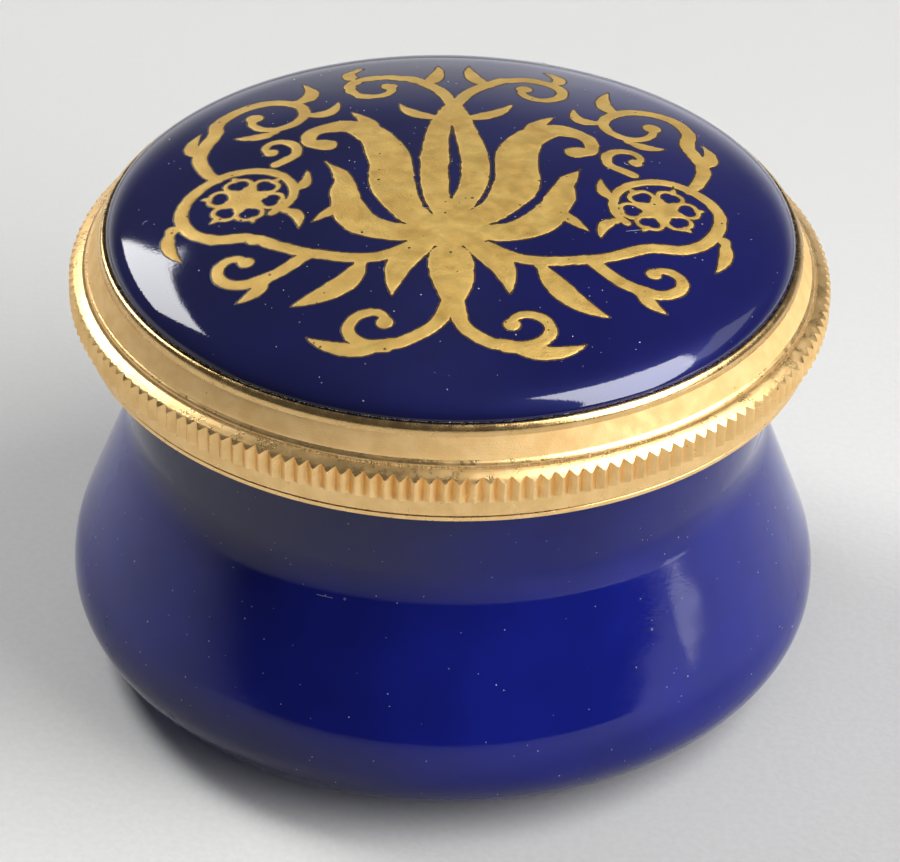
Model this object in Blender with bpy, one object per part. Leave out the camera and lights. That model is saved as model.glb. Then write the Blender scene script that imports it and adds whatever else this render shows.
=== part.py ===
"""Round enamelled copper box with a domed screw lid, milled grip ring and gilt mounts.

Lengths are written in millimetres and turned into metres by the constant MM. The box stands on
the plane z = 0 with its axis on +Z. Heights are measured from that plane with the lid screwed home.
"""

import math

import bpy
import bmesh
from mathutils import Vector

MM = 0.001

# Overall form of the body
BASE_RADIUS = 15.3
BASE_HOLLOW_INSET = 3.4
BASE_HOLLOW_DEPTH = 0.45
BASE_HOLLOW_SLOPE = 1.6
FOOT_ROUND_HEIGHT = 4.55
BELLY_HEIGHT = 5.8
BELLY_OVERHANG = 0.3
WAIST_TUCK = 0.98
WAIST_HEIGHT = 15.2
WAIST_BEND = 1.15
NECK_RADIUS = 19.6
BODY_ENAMEL_TOP = 21.6

# Layers of the body wall
BODY_ENAMEL_WALL = 0.5
BODY_COPPER_WALL = 0.4
BODY_LINING_WALL = 0.4
COPPER_RIM_RISE = 2.7
LINING_RIM_DROP = 0.35
LAYER_GAP = 0.05

# Gilt collar crimped on the copper rim
FLANGE_HEIGHT = 0.3
COLLAR_WALL = 0.85
COLLAR_LIP_HEIGHT = 0.4
COLLAR_EDGE_BEVEL = 0.2
PARTING_GAP = 0.1
HEADROOM = 0.2

# Gilt bezel of the lid, from its lower edge up
SKIRT_BORE_CLEARANCE = 0.45
SKIRT_WALL = 0.9
FLANGE_INSET = 0.1
BAND_HEIGHT = 1.1
MILLING_FOOT = 0.28
MILLING_LAND = 1.15
MILLING_HEAD = 0.32
CREST_STAND = 0.7
MILLING_DEPTH = 0.32
MILLING_COUNT = 172
CREST_SHARE = 0.24
RUNOUT_CREST_SHARE = 0.9
STEP_RUN = 0.45
STEP_HEIGHT = 0.52
CONE_FLARE = 0.58
CONE_HEIGHT = 1.18
LIP_WALL = 0.4
LIP_HEIGHT = 0.6
LIP_BEVEL_WIDTH = 0.11
LIP_BEVEL_DROP = 0.16
LIP_LAND = 0.12
LIP_OVERLAP = 0.23

# Screw thread, right-handed, between collar and bezel
THREAD_STARTS = 2
THREAD_LEAD = 3.0
THREAD_DEPTH = 0.3
THREAD_ROOT_WIDTH = 0.62
THREAD_CREST_WIDTH = 0.22
THREAD_TURN_SHARE = 0.5
THREAD_EDGE_MARGIN = 0.35
THREAD_SINK = 0.15
THREAD_END_DEPTH_SHARE = 0.15
THREAD_FADE_SHARE = 0.14

# Domed plaque of the lid and the plain ring that holds it up in the bezel
DOME_HEIGHT = 1.9
SHOULDER_RUN = 2.5
SHOULDER_RISE = 1.35
LID_ENAMEL_WALL = 0.45
LID_COPPER_WALL = 0.4
LID_LINING_WALL = 0.35
COPPER_BRIM_HEIGHT = 0.42
RETAINER_HEIGHT = 0.42
RETAINER_WIDTH = 1.2

# Facets round the axis: visible surfaces and hidden ones
OUTER_FACETS = MILLING_COUNT // 2
INNER_FACETS = OUTER_FACETS // 2

# Length of the arms that mark the screw axis
AXIS_MARK_SIZE = 10.0

# Steps along a curved section
VISIBLE_STEPS = 8
HIDDEN_STEPS = 4

# Heights that follow from the sizes above
BODY_COPPER_TOP = BODY_ENAMEL_TOP + COPPER_RIM_RISE
FLANGE_TOP = BODY_ENAMEL_TOP + LAYER_GAP + FLANGE_HEIGHT
BEZEL_FOOT = FLANGE_TOP + PARTING_GAP
MILLING_LOW = BEZEL_FOOT + BAND_HEIGHT
LAND_LOW = MILLING_LOW + MILLING_FOOT
LAND_HIGH = LAND_LOW + MILLING_LAND
MILLING_HIGH = LAND_HIGH + MILLING_HEAD
CONE_LOW = MILLING_HIGH + STEP_HEIGHT
CONE_HIGH = CONE_LOW + CONE_HEIGHT
LIP_TOP = CONE_HIGH + LIP_HEIGHT
COLLAR_TOP = BODY_COPPER_TOP + LAYER_GAP + COLLAR_LIP_HEIGHT

# Radii that follow from the sizes above, from the neck outward and back in to the lip
COPPER_NECK_RADIUS = NECK_RADIUS - BODY_ENAMEL_WALL - LAYER_GAP
COLLAR_BORE = COPPER_NECK_RADIUS + LAYER_GAP
COLLAR_RADIUS = COLLAR_BORE + COLLAR_WALL
COLLAR_LIP_RADIUS = COPPER_NECK_RADIUS - BODY_COPPER_WALL
SKIRT_BORE = COLLAR_RADIUS + SKIRT_BORE_CLEARANCE
BAND_RADIUS = SKIRT_BORE + SKIRT_WALL
FLANGE_RADIUS = BAND_RADIUS - FLANGE_INSET
CREST_RADIUS = BAND_RADIUS + CREST_STAND
GROOVE_RADIUS = CREST_RADIUS - MILLING_DEPTH
SEAT_BORE = SKIRT_BORE - THREAD_DEPTH
LIP_OPENING_RADIUS = SEAT_BORE - LIP_OVERLAP
CONE_TOP_RADIUS = LIP_OPENING_RADIUS + LIP_WALL
CONE_FOOT_RADIUS = CONE_TOP_RADIUS + CONE_FLARE
STEP_RADIUS = CONE_FOOT_RADIUS + STEP_RUN
PLAQUE_RADIUS = LIP_OPENING_RADIUS - LAYER_GAP
BRIM_RADIUS = SEAT_BORE - LAYER_GAP
WAIST_RADIUS = NECK_RADIUS - WAIST_TUCK
BELLY_RADIUS = CREST_RADIUS + BELLY_OVERHANG
BASE_HOLLOW_RADIUS = BASE_RADIUS - BASE_HOLLOW_INSET
SHOULDER_RADIUS = PLAQUE_RADIUS - SHOULDER_RUN
DOME_SPHERE = (SHOULDER_RADIUS**2 + DOME_HEIGHT**2) / (2 * DOME_HEIGHT)

# Seats of the lid's layers, stacked up from the top of the collar
RETAINER_LOW = COLLAR_TOP + HEADROOM
RETAINER_TOP = RETAINER_LOW + RETAINER_HEIGHT
BRIM_LOW = RETAINER_TOP + LAYER_GAP
BRIM_TOP = BRIM_LOW + COPPER_BRIM_HEIGHT
LIP_UNDERSIDE = BRIM_TOP + LAYER_GAP

ENAMEL_BLUE = (0.012, 0.014, 0.135, 1.0)
ENAMEL_WHITE = (0.80, 0.79, 0.74, 1.0)
GILT = (0.78, 0.53, 0.22, 1.0)
COPPER = (0.62, 0.29, 0.16, 1.0)


def clear_scene():
    """Remove every object of the scene."""
    for scene_object in list(bpy.data.objects):
        bpy.data.objects.remove(scene_object, do_unlink=True)


def make_material(name, colour, roughness, metallic):
    """Plain Principled material."""
    material = bpy.data.materials.new(name)
    material.use_nodes = True
    shader = material.node_tree.nodes["Principled BSDF"]
    shader.inputs["Base Color"].default_value = colour
    shader.inputs["Roughness"].default_value = roughness
    shader.inputs["Metallic"].default_value = metallic
    material.diffuse_color = colour
    return material


def add_object(name, mesh, material, parent=None, sharp_degrees=32.0):
    """Put a mesh in the scene as one named sub-part, shaded smooth between sharp edges."""
    mesh.shade_smooth()
    mesh.set_sharp_from_angle(angle=math.radians(sharp_degrees))
    mesh.materials.append(material)
    new_object = bpy.data.objects.new(name, mesh)
    bpy.context.scene.collection.objects.link(new_object)
    new_object.parent = parent
    return new_object


def add_empty(name):
    """Empty on the screw axis that carries the lid's pieces."""
    empty = bpy.data.objects.new(name, None)
    empty.empty_display_size = AXIS_MARK_SIZE * MM
    bpy.context.scene.collection.objects.link(empty)
    return empty


def plain_ring(bm, radius, height, facets):
    """Ring of vertices on a circle; a radius of zero gives the single vertex on the axis."""
    if radius == 0.0:
        return [bm.verts.new((0.0, 0.0, height * MM))]
    ring = []
    for index in range(facets):
        angle = 2 * math.pi * index / facets
        x = radius * math.cos(angle) * MM
        y = radius * math.sin(angle) * MM
        ring.append(bm.verts.new((x, y, height * MM)))
    return ring


def milled_ring(bm, crest, groove, height, crest_share):
    """Ring with one flat crest, a share of the pitch wide, and one groove bottom for each groove."""
    ring = []
    pitch = 2 * math.pi / MILLING_COUNT
    half_crest = crest_share * pitch / 2
    for index in range(MILLING_COUNT):
        for offset, radius in ((-half_crest, crest), (half_crest, crest), (pitch / 2, groove)):
            angle = index * pitch + offset
            x = radius * math.cos(angle) * MM
            y = radius * math.sin(angle) * MM
            ring.append(bm.verts.new((x, y, height * MM)))
    return ring


def bridge(bm, first, second):
    """Join two rings, one count a multiple of the other; faces look out when first is the upper."""
    coarse, fine, flipped = (first, second, False)
    if len(first) > len(second):
        coarse, fine, flipped = (second, first, True)
    ratio = len(fine) // len(coarse)
    fine_count = len(fine)
    coarse_count = len(coarse)
    for index in range(coarse_count):
        near = coarse[index]
        far = coarse[(index + 1) % coarse_count]
        start = index * ratio
        steps = [fine[(start + step) % fine_count] for step in range(ratio + 1)]
        if coarse_count == 1:
            faces = [(near, steps[step], steps[step + 1]) for step in range(ratio)]
        elif ratio == 1:
            faces = [(near, steps[0], steps[1], far)]
        else:
            half = (ratio + 1) // 2
            faces = [(near, steps[step], steps[step + 1]) for step in range(half)]
            faces.append((near, steps[half], far))
            faces += [(far, steps[step], steps[step + 1]) for step in range(half, ratio)]
        for corners in faces:
            bm.faces.new(corners[::-1] if flipped else corners)


def turned_mesh(name, rings):
    """Closed solid of revolution from rings run round its section, down the outer side first.

    A section that starts on the axis also ends on it, and a cup's closes over its rim. A ring is (radius, height, facets), or the sizes of a milled ring after the word "milled".
    """
    bm = bmesh.new()
    loops = []
    for ring in rings:
        if ring[0] == "milled":
            loops.append(milled_ring(bm, *ring[1:]))
        else:
            loops.append(plain_ring(bm, *ring))
    for upper, lower in zip(loops, loops[1:] + loops[:1]):
        if len(upper) > 1 or len(lower) > 1:
            bridge(bm, upper, lower)
    mesh = bpy.data.meshes.new(name)
    bm.to_mesh(mesh)
    bm.free()
    return mesh


def arc(centre, radius_r, radius_z, start_degrees, end_degrees, steps):
    """Points of an elliptical arc in the half plane (r, z)."""
    points = []
    for step in range(steps + 1):
        angle = math.radians(start_degrees + (end_degrees - start_degrees) * step / steps)
        r = centre[0] + radius_r * math.cos(angle)
        z = centre[1] + radius_z * math.sin(angle)
        points.append((r, z))
    return points


def bend(start, corner, end, steps):
    """Points of a curve that leaves start and reaches end in line with the corner it rounds off."""
    points = []
    for step in range(steps + 1):
        share = step / steps
        weights = ((1 - share) ** 2, 2 * share * (1 - share), share ** 2)
        ends = (start, corner, end)
        r = sum(weight * point[0] for weight, point in zip(weights, ends))
        z = sum(weight * point[1] for weight, point in zip(weights, ends))
        points.append((r, z))
    return points


def on_line(corner, other, height):
    """Point on the line from corner to other, at that height."""
    share = (height - corner[1]) / (other[1] - corner[1])
    return (corner[0] + (other[0] - corner[0]) * share, height)


def body_side(inset, steps):
    """Body side from the neck down to the edge of the base, moved inward by inset."""
    neck = (NECK_RADIUS - inset, BODY_ENAMEL_TOP)
    waist = (WAIST_RADIUS - inset, WAIST_HEIGHT)
    belly = (BELLY_RADIUS - inset, BELLY_HEIGHT)
    widest = (BELLY_RADIUS - inset, FOOT_ROUND_HEIGHT)
    above_waist = on_line(waist, neck, WAIST_HEIGHT + WAIST_BEND)
    below_waist = on_line(waist, belly, WAIST_HEIGHT - WAIST_BEND)
    above_belly = on_line(belly, waist, 2 * BELLY_HEIGHT - FOOT_ROUND_HEIGHT)
    bend_steps = steps // 2
    points = [neck]
    points += bend(above_waist, waist, below_waist, bend_steps)
    points += bend(above_belly, belly, widest, bend_steps)
    foot = arc(
        (BASE_RADIUS, FOOT_ROUND_HEIGHT),
        BELLY_RADIUS - BASE_RADIUS - inset,
        FOOT_ROUND_HEIGHT - inset,
        0.0,
        -90.0,
        steps,
    )
    return points + foot[1:]


def body_floor(inset):
    """Underside of the base from its edge to the axis, raised by inset."""
    return [
        (BASE_HOLLOW_RADIUS, inset),
        (BASE_HOLLOW_RADIUS - BASE_HOLLOW_SLOPE, BASE_HOLLOW_DEPTH + inset),
        (0.0, BASE_HOLLOW_DEPTH + inset),
    ]


def with_facets(points, facets):
    """Tag section points with a facet count."""
    return [(r, z, facets) for r, z in points]


def body_layer(inset, steps, rise, facets):
    """One side of a body layer from its rim down to the axis, its rim raised by rise."""
    side = body_side(inset, steps)
    side[0] = (side[0][0], side[0][1] + rise)
    return with_facets(side + body_floor(inset), facets)


def thread_ridge(name, root_radius, depth_sign, low, start_angle):
    """Guide solid of one thread ridge that climbs with the lead and fades out at both ends."""
    sections = INNER_FACETS
    sweep = 2 * math.pi * THREAD_TURN_SHARE
    bm = bmesh.new()
    loops = []
    for index in range(sections + 1):
        share = index / sections
        angle = start_angle + sweep * share
        height = low + THREAD_LEAD * THREAD_TURN_SHARE * share
        from_end = min(share, 1 - share) / THREAD_FADE_SHARE
        fade = min(1.0, THREAD_END_DEPTH_SHARE + (1 - THREAD_END_DEPTH_SHARE) * from_end)
        crest = root_radius + depth_sign * THREAD_DEPTH * fade
        buried = root_radius - depth_sign * THREAD_SINK
        buried_half = THREAD_ROOT_WIDTH / 2
        crest_half = THREAD_CREST_WIDTH / 2
        corners = (
            (buried, height - buried_half),
            (crest, height - crest_half),
            (crest, height + crest_half),
            (buried, height + buried_half),
        )
        loop = []
        for radius, z in corners:
            point = Vector((radius * math.cos(angle), radius * math.sin(angle), z)) * MM
            loop.append(bm.verts.new(point))
        loops.append(loop)
    for near, far in zip(loops, loops[1:]):
        for corner in range(4):
            after = (corner + 1) % 4
            bm.faces.new((near[corner], near[after], far[after], far[corner]))
    bm.faces.new(loops[0])
    bm.faces.new(loops[-1])
    bmesh.ops.recalc_face_normals(bm, faces=bm.faces)
    mesh = bpy.data.meshes.new(name)
    bm.to_mesh(mesh)
    bm.free()
    guide = bpy.data.objects.new(name, mesh)
    guide.hide_render = True
    guide.display_type = "WIRE"
    bpy.context.scene.collection.objects.link(guide)
    return guide


def add_thread(carrier, root_radius, depth_sign, low, first_angle):
    """Join the ridges of every start to the wall that carries them."""
    for start in range(THREAD_STARTS):
        angle = first_angle + 2 * math.pi * start / THREAD_STARTS
        guide = thread_ridge(f"{carrier.name}_ridge_{start + 1}", root_radius, depth_sign, low, angle)
        guide.parent = carrier.parent
        union = carrier.modifiers.new(f"thread_{start + 1}", "BOOLEAN")
        union.operation = "UNION"
        union.solver = "EXACT"
        union.object = guide


def build_body(materials):
    """Copper body between its blue outer enamel and its white lining."""
    copper_inset = BODY_ENAMEL_WALL + LAYER_GAP
    lining_inset = copper_inset + BODY_COPPER_WALL + LAYER_GAP
    lining_rise = COPPER_RIM_RISE - LINING_RIM_DROP
    layers = (
        ("body_outer_enamel", "enamel_blue", 0.0, BODY_ENAMEL_WALL, 0.0),
        ("body_copper_shell", "copper", copper_inset, BODY_COPPER_WALL, COPPER_RIM_RISE),
        ("body_inner_enamel", "enamel_white", lining_inset, BODY_LINING_WALL, lining_rise),
    )
    for name, material_name, inset, wall, rise in layers:
        if inset == 0.0:
            outside = body_layer(inset, VISIBLE_STEPS, rise, OUTER_FACETS)
        else:
            outside = body_layer(inset, HIDDEN_STEPS, rise, INNER_FACETS)
        inside = body_layer(inset + wall, HIDDEN_STEPS, rise, INNER_FACETS)
        mesh = turned_mesh(name, outside + inside[::-1])
        add_object(name, mesh, materials[material_name])


def build_collar(materials):
    """Gilt collar: thin flange, threaded wall and a lip folded over the copper rim."""
    flange_low = BODY_ENAMEL_TOP + LAYER_GAP
    lip_low = COLLAR_TOP - COLLAR_LIP_HEIGHT
    section = [
        (COLLAR_LIP_RADIUS, COLLAR_TOP, INNER_FACETS),
        (COLLAR_RADIUS - COLLAR_EDGE_BEVEL, COLLAR_TOP, OUTER_FACETS),
        (COLLAR_RADIUS, COLLAR_TOP - COLLAR_EDGE_BEVEL, OUTER_FACETS),
        (COLLAR_RADIUS, FLANGE_TOP, OUTER_FACETS),
        (FLANGE_RADIUS, FLANGE_TOP, OUTER_FACETS),
        (FLANGE_RADIUS, flange_low, OUTER_FACETS),
        (COLLAR_BORE, flange_low, INNER_FACETS),
        (COLLAR_BORE, lip_low, INNER_FACETS),
        (COLLAR_LIP_RADIUS, lip_low, INNER_FACETS),
    ]
    collar = add_object("neck_collar", turned_mesh("neck_collar", section), materials["gilt"])
    thread_low = FLANGE_TOP + THREAD_EDGE_MARGIN + THREAD_ROOT_WIDTH / 2
    add_thread(collar, COLLAR_RADIUS, 1, thread_low, 0.0)


def build_bezel(materials, lid_axis):
    """Gilt bezel: plain band, milled grip, satin cone, rounded lip, bore and inner thread."""
    lip_flat = LIP_OPENING_RADIUS + LIP_LAND
    section = [
        (LIP_OPENING_RADIUS, LIP_TOP, OUTER_FACETS),
        (lip_flat, LIP_TOP, OUTER_FACETS),
        (lip_flat + LIP_BEVEL_WIDTH, LIP_TOP - LIP_BEVEL_DROP, OUTER_FACETS),
        (CONE_TOP_RADIUS, CONE_HIGH, OUTER_FACETS),
        (CONE_FOOT_RADIUS, CONE_LOW, OUTER_FACETS),
        (STEP_RADIUS, MILLING_HIGH, OUTER_FACETS),
        ("milled", GROOVE_RADIUS, GROOVE_RADIUS, MILLING_HIGH, RUNOUT_CREST_SHARE),
        ("milled", CREST_RADIUS, GROOVE_RADIUS, LAND_HIGH, CREST_SHARE),
        ("milled", CREST_RADIUS, GROOVE_RADIUS, LAND_LOW, CREST_SHARE),
        (BAND_RADIUS, MILLING_LOW, OUTER_FACETS),
        (BAND_RADIUS, BEZEL_FOOT, OUTER_FACETS),
        (SKIRT_BORE, BEZEL_FOOT, INNER_FACETS),
        (SKIRT_BORE, RETAINER_LOW, INNER_FACETS),
        (SEAT_BORE, RETAINER_LOW, INNER_FACETS),
        (SEAT_BORE, LIP_UNDERSIDE, INNER_FACETS),
        (LIP_OPENING_RADIUS, LIP_UNDERSIDE, OUTER_FACETS),
    ]
    mesh = turned_mesh("lid_bezel", section)
    bezel = add_object("lid_bezel", mesh, materials["gilt"], lid_axis)
    thread_low = FLANGE_TOP + THREAD_EDGE_MARGIN + THREAD_ROOT_WIDTH / 2
    half_pitch_angle = math.pi / THREAD_STARTS
    add_thread(bezel, SKIRT_BORE, -1, thread_low, -half_pitch_angle)


def dome_height(radius):
    """Height of the plaque's outer surface above its shoulder, a shallow spherical cap."""
    return math.sqrt(DOME_SPHERE**2 - radius**2) - (DOME_SPHERE - DOME_HEIGHT)


def dome_section(inset, steps):
    """Plaque surface from the axis out over the shoulder, moved inward by inset."""
    shoulder_top = LIP_TOP + SHOULDER_RISE - inset
    points = []
    for step in range(steps):
        radius = SHOULDER_RADIUS * step / steps
        points.append((radius, shoulder_top + dome_height(radius)))
    start = (SHOULDER_RADIUS, shoulder_top)
    end = (PLAQUE_RADIUS - inset, LIP_TOP)
    start_slope = SHOULDER_RADIUS / math.sqrt(DOME_SPHERE**2 - SHOULDER_RADIUS**2)
    corner = (end[0], shoulder_top - (end[0] - SHOULDER_RADIUS) * start_slope)
    return points + bend(start, corner, end, steps - 2)


def plaque_layer(inset, steps, facets, low):
    """One side of a plaque layer from the axis over the shoulder down to the height low."""
    side = dome_section(inset, steps)
    side.append((PLAQUE_RADIUS - inset, low))
    return with_facets(side, facets)


def build_plaque(materials, lid_axis):
    """Domed copper plaque of the lid between blue enamel and white lining."""
    copper_inset = LID_ENAMEL_WALL + LAYER_GAP
    lining_inset = copper_inset + LID_COPPER_WALL + LAYER_GAP

    enamel_low = BRIM_TOP + LAYER_GAP
    outside = plaque_layer(0.0, VISIBLE_STEPS, OUTER_FACETS, enamel_low)
    inside = plaque_layer(LID_ENAMEL_WALL, HIDDEN_STEPS, INNER_FACETS, enamel_low)
    mesh = turned_mesh("lid_outer_enamel", outside + inside[::-1])
    add_object("lid_outer_enamel", mesh, materials["enamel_blue"], lid_axis)

    outside = plaque_layer(copper_inset, HIDDEN_STEPS, INNER_FACETS, BRIM_TOP)
    brim = [(BRIM_RADIUS, BRIM_TOP, INNER_FACETS), (BRIM_RADIUS, BRIM_LOW, INNER_FACETS)]
    inside = plaque_layer(copper_inset + LID_COPPER_WALL, HIDDEN_STEPS, INNER_FACETS, BRIM_LOW)
    mesh = turned_mesh("lid_copper_dome", outside + brim + inside[::-1])
    add_object("lid_copper_dome", mesh, materials["copper"], lid_axis)

    outside = plaque_layer(lining_inset, HIDDEN_STEPS, INNER_FACETS, BRIM_LOW)
    inside = plaque_layer(lining_inset + LID_LINING_WALL, HIDDEN_STEPS, INNER_FACETS, BRIM_LOW)
    mesh = turned_mesh("lid_inner_enamel", outside + inside[::-1])
    add_object("lid_inner_enamel", mesh, materials["enamel_white"], lid_axis)


def build_retainer(materials, lid_axis):
    """Plain ring pressed into the bezel under the plaque's brim."""
    inner = BRIM_RADIUS - RETAINER_WIDTH
    section = [
        (inner, RETAINER_TOP, INNER_FACETS),
        (BRIM_RADIUS, RETAINER_TOP, INNER_FACETS),
        (BRIM_RADIUS, RETAINER_LOW, INNER_FACETS),
        (inner, RETAINER_LOW, INNER_FACETS),
    ]
    mesh = turned_mesh("lid_retaining_ring", section)
    add_object("lid_retaining_ring", mesh, materials["gilt"], lid_axis)


def main():
    """Build the whole box."""
    clear_scene()
    materials = {
        "enamel_blue": make_material("enamel_blue", ENAMEL_BLUE, 0.08, 0.0),
        "enamel_white": make_material("enamel_white", ENAMEL_WHITE, 0.15, 0.0),
        "gilt": make_material("gilt", GILT, 0.24, 1.0),
        "copper": make_material("copper", COPPER, 0.4, 1.0),
    }
    lid_axis = add_empty("lid_axis")
    build_body(materials)
    build_collar(materials)
    build_bezel(materials, lid_axis)
    build_plaque(materials, lid_axis)
    build_retainer(materials, lid_axis)


main()
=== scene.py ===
"""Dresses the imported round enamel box: blue enamel body and domed lid, gilt mounts, fired gold scrolls."""

import math
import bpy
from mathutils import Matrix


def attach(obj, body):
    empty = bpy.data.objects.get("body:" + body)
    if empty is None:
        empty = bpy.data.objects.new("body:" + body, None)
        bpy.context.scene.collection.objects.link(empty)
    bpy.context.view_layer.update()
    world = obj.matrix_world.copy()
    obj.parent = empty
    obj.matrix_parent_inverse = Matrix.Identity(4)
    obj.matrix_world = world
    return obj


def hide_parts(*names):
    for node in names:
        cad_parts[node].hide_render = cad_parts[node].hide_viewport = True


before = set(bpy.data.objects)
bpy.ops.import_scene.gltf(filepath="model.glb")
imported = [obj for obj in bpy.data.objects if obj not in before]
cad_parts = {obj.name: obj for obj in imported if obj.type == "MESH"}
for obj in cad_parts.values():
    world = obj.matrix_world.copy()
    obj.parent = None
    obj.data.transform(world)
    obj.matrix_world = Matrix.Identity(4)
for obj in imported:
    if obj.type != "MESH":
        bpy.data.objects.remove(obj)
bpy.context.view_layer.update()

from types import SimpleNamespace

import bpy
import numpy as np
from bpy.props import FloatProperty, FloatVectorProperty, IntProperty, PointerProperty
from mathutils import Matrix, Vector

bl_info = {
    "name": "Round enamel box",
    "version": (1, 0, 0),
    "blender": (4, 5, 0),
    "location": "View3D > Sidebar > Enamel Box",
    "description": "Builds a round enamel box with a milled gilt ring on its packed model",
    "category": "Object",
}

MM = 0.001

# Facets round the axis of the plainly turned pieces, and the longest step in mm along their sections
SECTORS = 256
SECTION_STEP = 0.6
CONE_STEP = 0.2

# Steps along each bend of the body, along the plaque's shoulder and along its dome
SIDE_STEPS = 24
SHOULDER_STEPS = 20
DOME_STEPS = 29

# Radius in mm under which a point counts as lying on the axis
ON_AXIS = 1e-6

# Angle in degrees from which an edge is shaded sharp, on most pieces, on the milled ring and on the gold
SHARP = 30.0
RING_SHARP = 24.0
GOLD_SHARP = 60.0

# Layers of the body wall and of the plaque, in mm from the blue surface inward
BODY_LAYERS = {"enamel": (0.0, 0.5), "copper": (0.55, 0.95), "lining": (1.0, 1.4)}
PLAQUE_LAYERS = {"enamel": (0.0, 0.45), "copper": (0.5, 0.9), "lining": (0.95, 1.3)}


# Sizes and colours ----------------------------------------


def length(name, size, description):
    """Length setting, written in millimetres."""
    return FloatProperty(
        name=name, description=description, default=size * MM, min=0.0, unit="LENGTH", precision=5
    )


def colour(name, shade, description):
    """Colour setting, as linear red, green and blue."""
    return FloatVectorProperty(
        name=name, description=description, default=shade, size=3, min=0.0, max=1.0, subtype="COLOR"
    )


class BoxSizes(bpy.types.PropertyGroup):
    """Lengths of the box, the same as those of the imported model."""

    base_radius: length("Base radius", 15.3, "Radius of the flat foot the box stands on")
    hollow_radius: length("Hollow radius", 11.9, "Outer radius of the shallow hollow under the base")
    hollow_depth: length("Hollow depth", 0.45, "Depth of the hollow under the base")
    hollow_slope: length("Hollow slope", 1.6, "Width of the slope into the hollow")
    foot_height: length("Foot height", 4.55, "Height at which the foot's rounding ends")
    belly_height: length("Belly height", 5.8, "Height of the belly's corner")
    belly_radius: length("Belly radius", 22.3, "Widest radius of the body")
    waist_height: length("Waist height", 15.2, "Height of the waist's corner")
    waist_radius: length("Waist radius", 18.62, "Radius of the waist's corner")
    waist_bend: length("Waist bend", 1.15, "Height over which the waist's corner is rounded, to each side")
    neck_radius: length("Neck radius", 19.6, "Radius of the blue enamel at the gilt collar")
    neck_height: length("Neck height", 21.6, "Height of the upper edge of the body's blue enamel")
    collar_top: length("Collar top", 24.75, "Height of the top of the gilt collar")
    flange_top: length("Flange top", 21.95, "Height of the top of the collar's flange")
    bezel_foot: length("Ring foot", 22.05, "Height of the lower edge of the lid's gilt ring")
    band_radius: length("Band radius", 21.3, "Radius of the plain band under the milling")
    crest_radius: length("Milling radius", 22.0, "Radius at the crests of the milling")
    milling_depth: length("Milling depth", 0.32, "Depth of the milled grooves")
    milling_low: length("Milling foot", 23.15, "Height at which the milling starts")
    milling_high: length("Milling head", 24.9, "Height at which the milling ends")
    milling_chamfer: length("Milling chamfer", 0.32, "Width of the chamfer over the milling")
    milling_foot_chamfer: length("Foot chamfer", 0.28, "Height of the chamfer under the milling")
    lip_top: length("Lip top", 27.2, "Height of the rounded lip over the plaque's edge")
    plaque_radius: length("Plaque radius", 19.82, "Radius of the lid's blue enamel")
    shoulder_run: length("Shoulder run", 2.5, "Width of the plaque's rounded shoulder")
    shoulder_rise: length("Shoulder rise", 1.35, "Height of the shoulder over the lip")
    dome_height: length("Dome height", 1.9, "Height of the dome over its shoulder")
    gold_height: length("Gold height", 0.03, "Thickness of the fired gold")
    milling_count: IntProperty(
        name="Milled grooves", description="Number of grooves round the ring", default=172, min=12
    )


class BoxColours(bpy.types.PropertyGroup):
    """Colours of the box, its stage and the dust on it."""

    # The body's and the lid's enamel are one cobalt glaze in two colours: the body's paler one is painted
    # light, the lid's darker one painted shade
    body_enamel: colour("Body enamel", (0.0065, 0.012, 0.225), "Glossy cobalt glaze of the body")
    lid_enamel: colour("Lid enamel", (0.0042, 0.0048, 0.066), "Deeper cobalt glaze of the lid")
    white_enamel: colour("White enamel", (0.8, 0.79, 0.74), "Counter enamel inside body and lid")
    gilt: colour("Gilt", (0.97, 0.66, 0.3), "Gilding of the ring and the collar")
    fired_gold: colour("Fired gold", (0.6, 0.4, 0.108), "Matt gold of the scrolls on the lid")
    gold_edge: colour("Gold edge", (0.045, 0.02, 0.006), "Burnt brown line round the fired gold")
    copper: colour("Copper", (0.62, 0.29, 0.16), "Bare pressed copper")
    dust: colour("Dust", (0.62, 0.62, 0.66), "Specks and fibres")
    # Dust in the gap round the plaque, its dark brown partly painted shade of that gap
    gap_dust: colour("Gap dust", (0.2, 0.165, 0.085), "Dust and polish caught round the plaque")
    floor: colour("Floor", (0.67, 0.67, 0.66), "Paper the box stands on")


def millimetres(scene):
    """The scene's box sizes with every length in millimetres."""
    group = scene.box_sizes
    sizes = {}
    for name in BoxSizes.__annotations__:
        value = getattr(group, name)
        sizes[name] = value if isinstance(value, int) else value / MM
    return SimpleNamespace(**sizes)


# Meshes ----------------------------------------


def add_piece(name, points, faces, finishes, body, slot, sharp=SHARP, face_finishes=None):
    """One named piece from points in millimetres, riding on a body, with its finishes; the slot is not used.
    """
    mesh = bpy.data.meshes.new(name)
    mesh.from_pydata((np.asarray(points, dtype=float) * MM).tolist(), [], faces)
    mesh.shade_smooth()
    mesh.set_sharp_from_angle(angle=math.radians(sharp))
    for finish in finishes:
        mesh.materials.append(finish_for(finish))
    if face_finishes is not None:
        mesh.polygons.foreach_set("material_index", face_finishes)
    piece = bpy.data.objects.new(name, mesh)
    bpy.context.scene.collection.objects.link(piece)
    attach(piece, body)
    return piece


def around(radius, angle, height):
    """Points round the axis, from a radius, an angle and a height or from rows of them."""
    return np.stack(np.broadcast_arrays(radius * np.cos(angle), radius * np.sin(angle), height), -1)


def rounded(start, corner, end, share):
    """Value at a share of the curve that leaves start and reaches end in line with a corner."""
    return start * (1 - share) ** 2 + 2 * corner * share * (1 - share) + end * share**2


def bend(start, corner, end, steps):
    """Points of the curve that rounds off the corner between start and end."""
    share = np.linspace(0.0, 1.0, steps + 1)[:, None]
    return [tuple(point) for point in rounded(*map(np.array, (start, corner, end)), share)]


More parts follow.
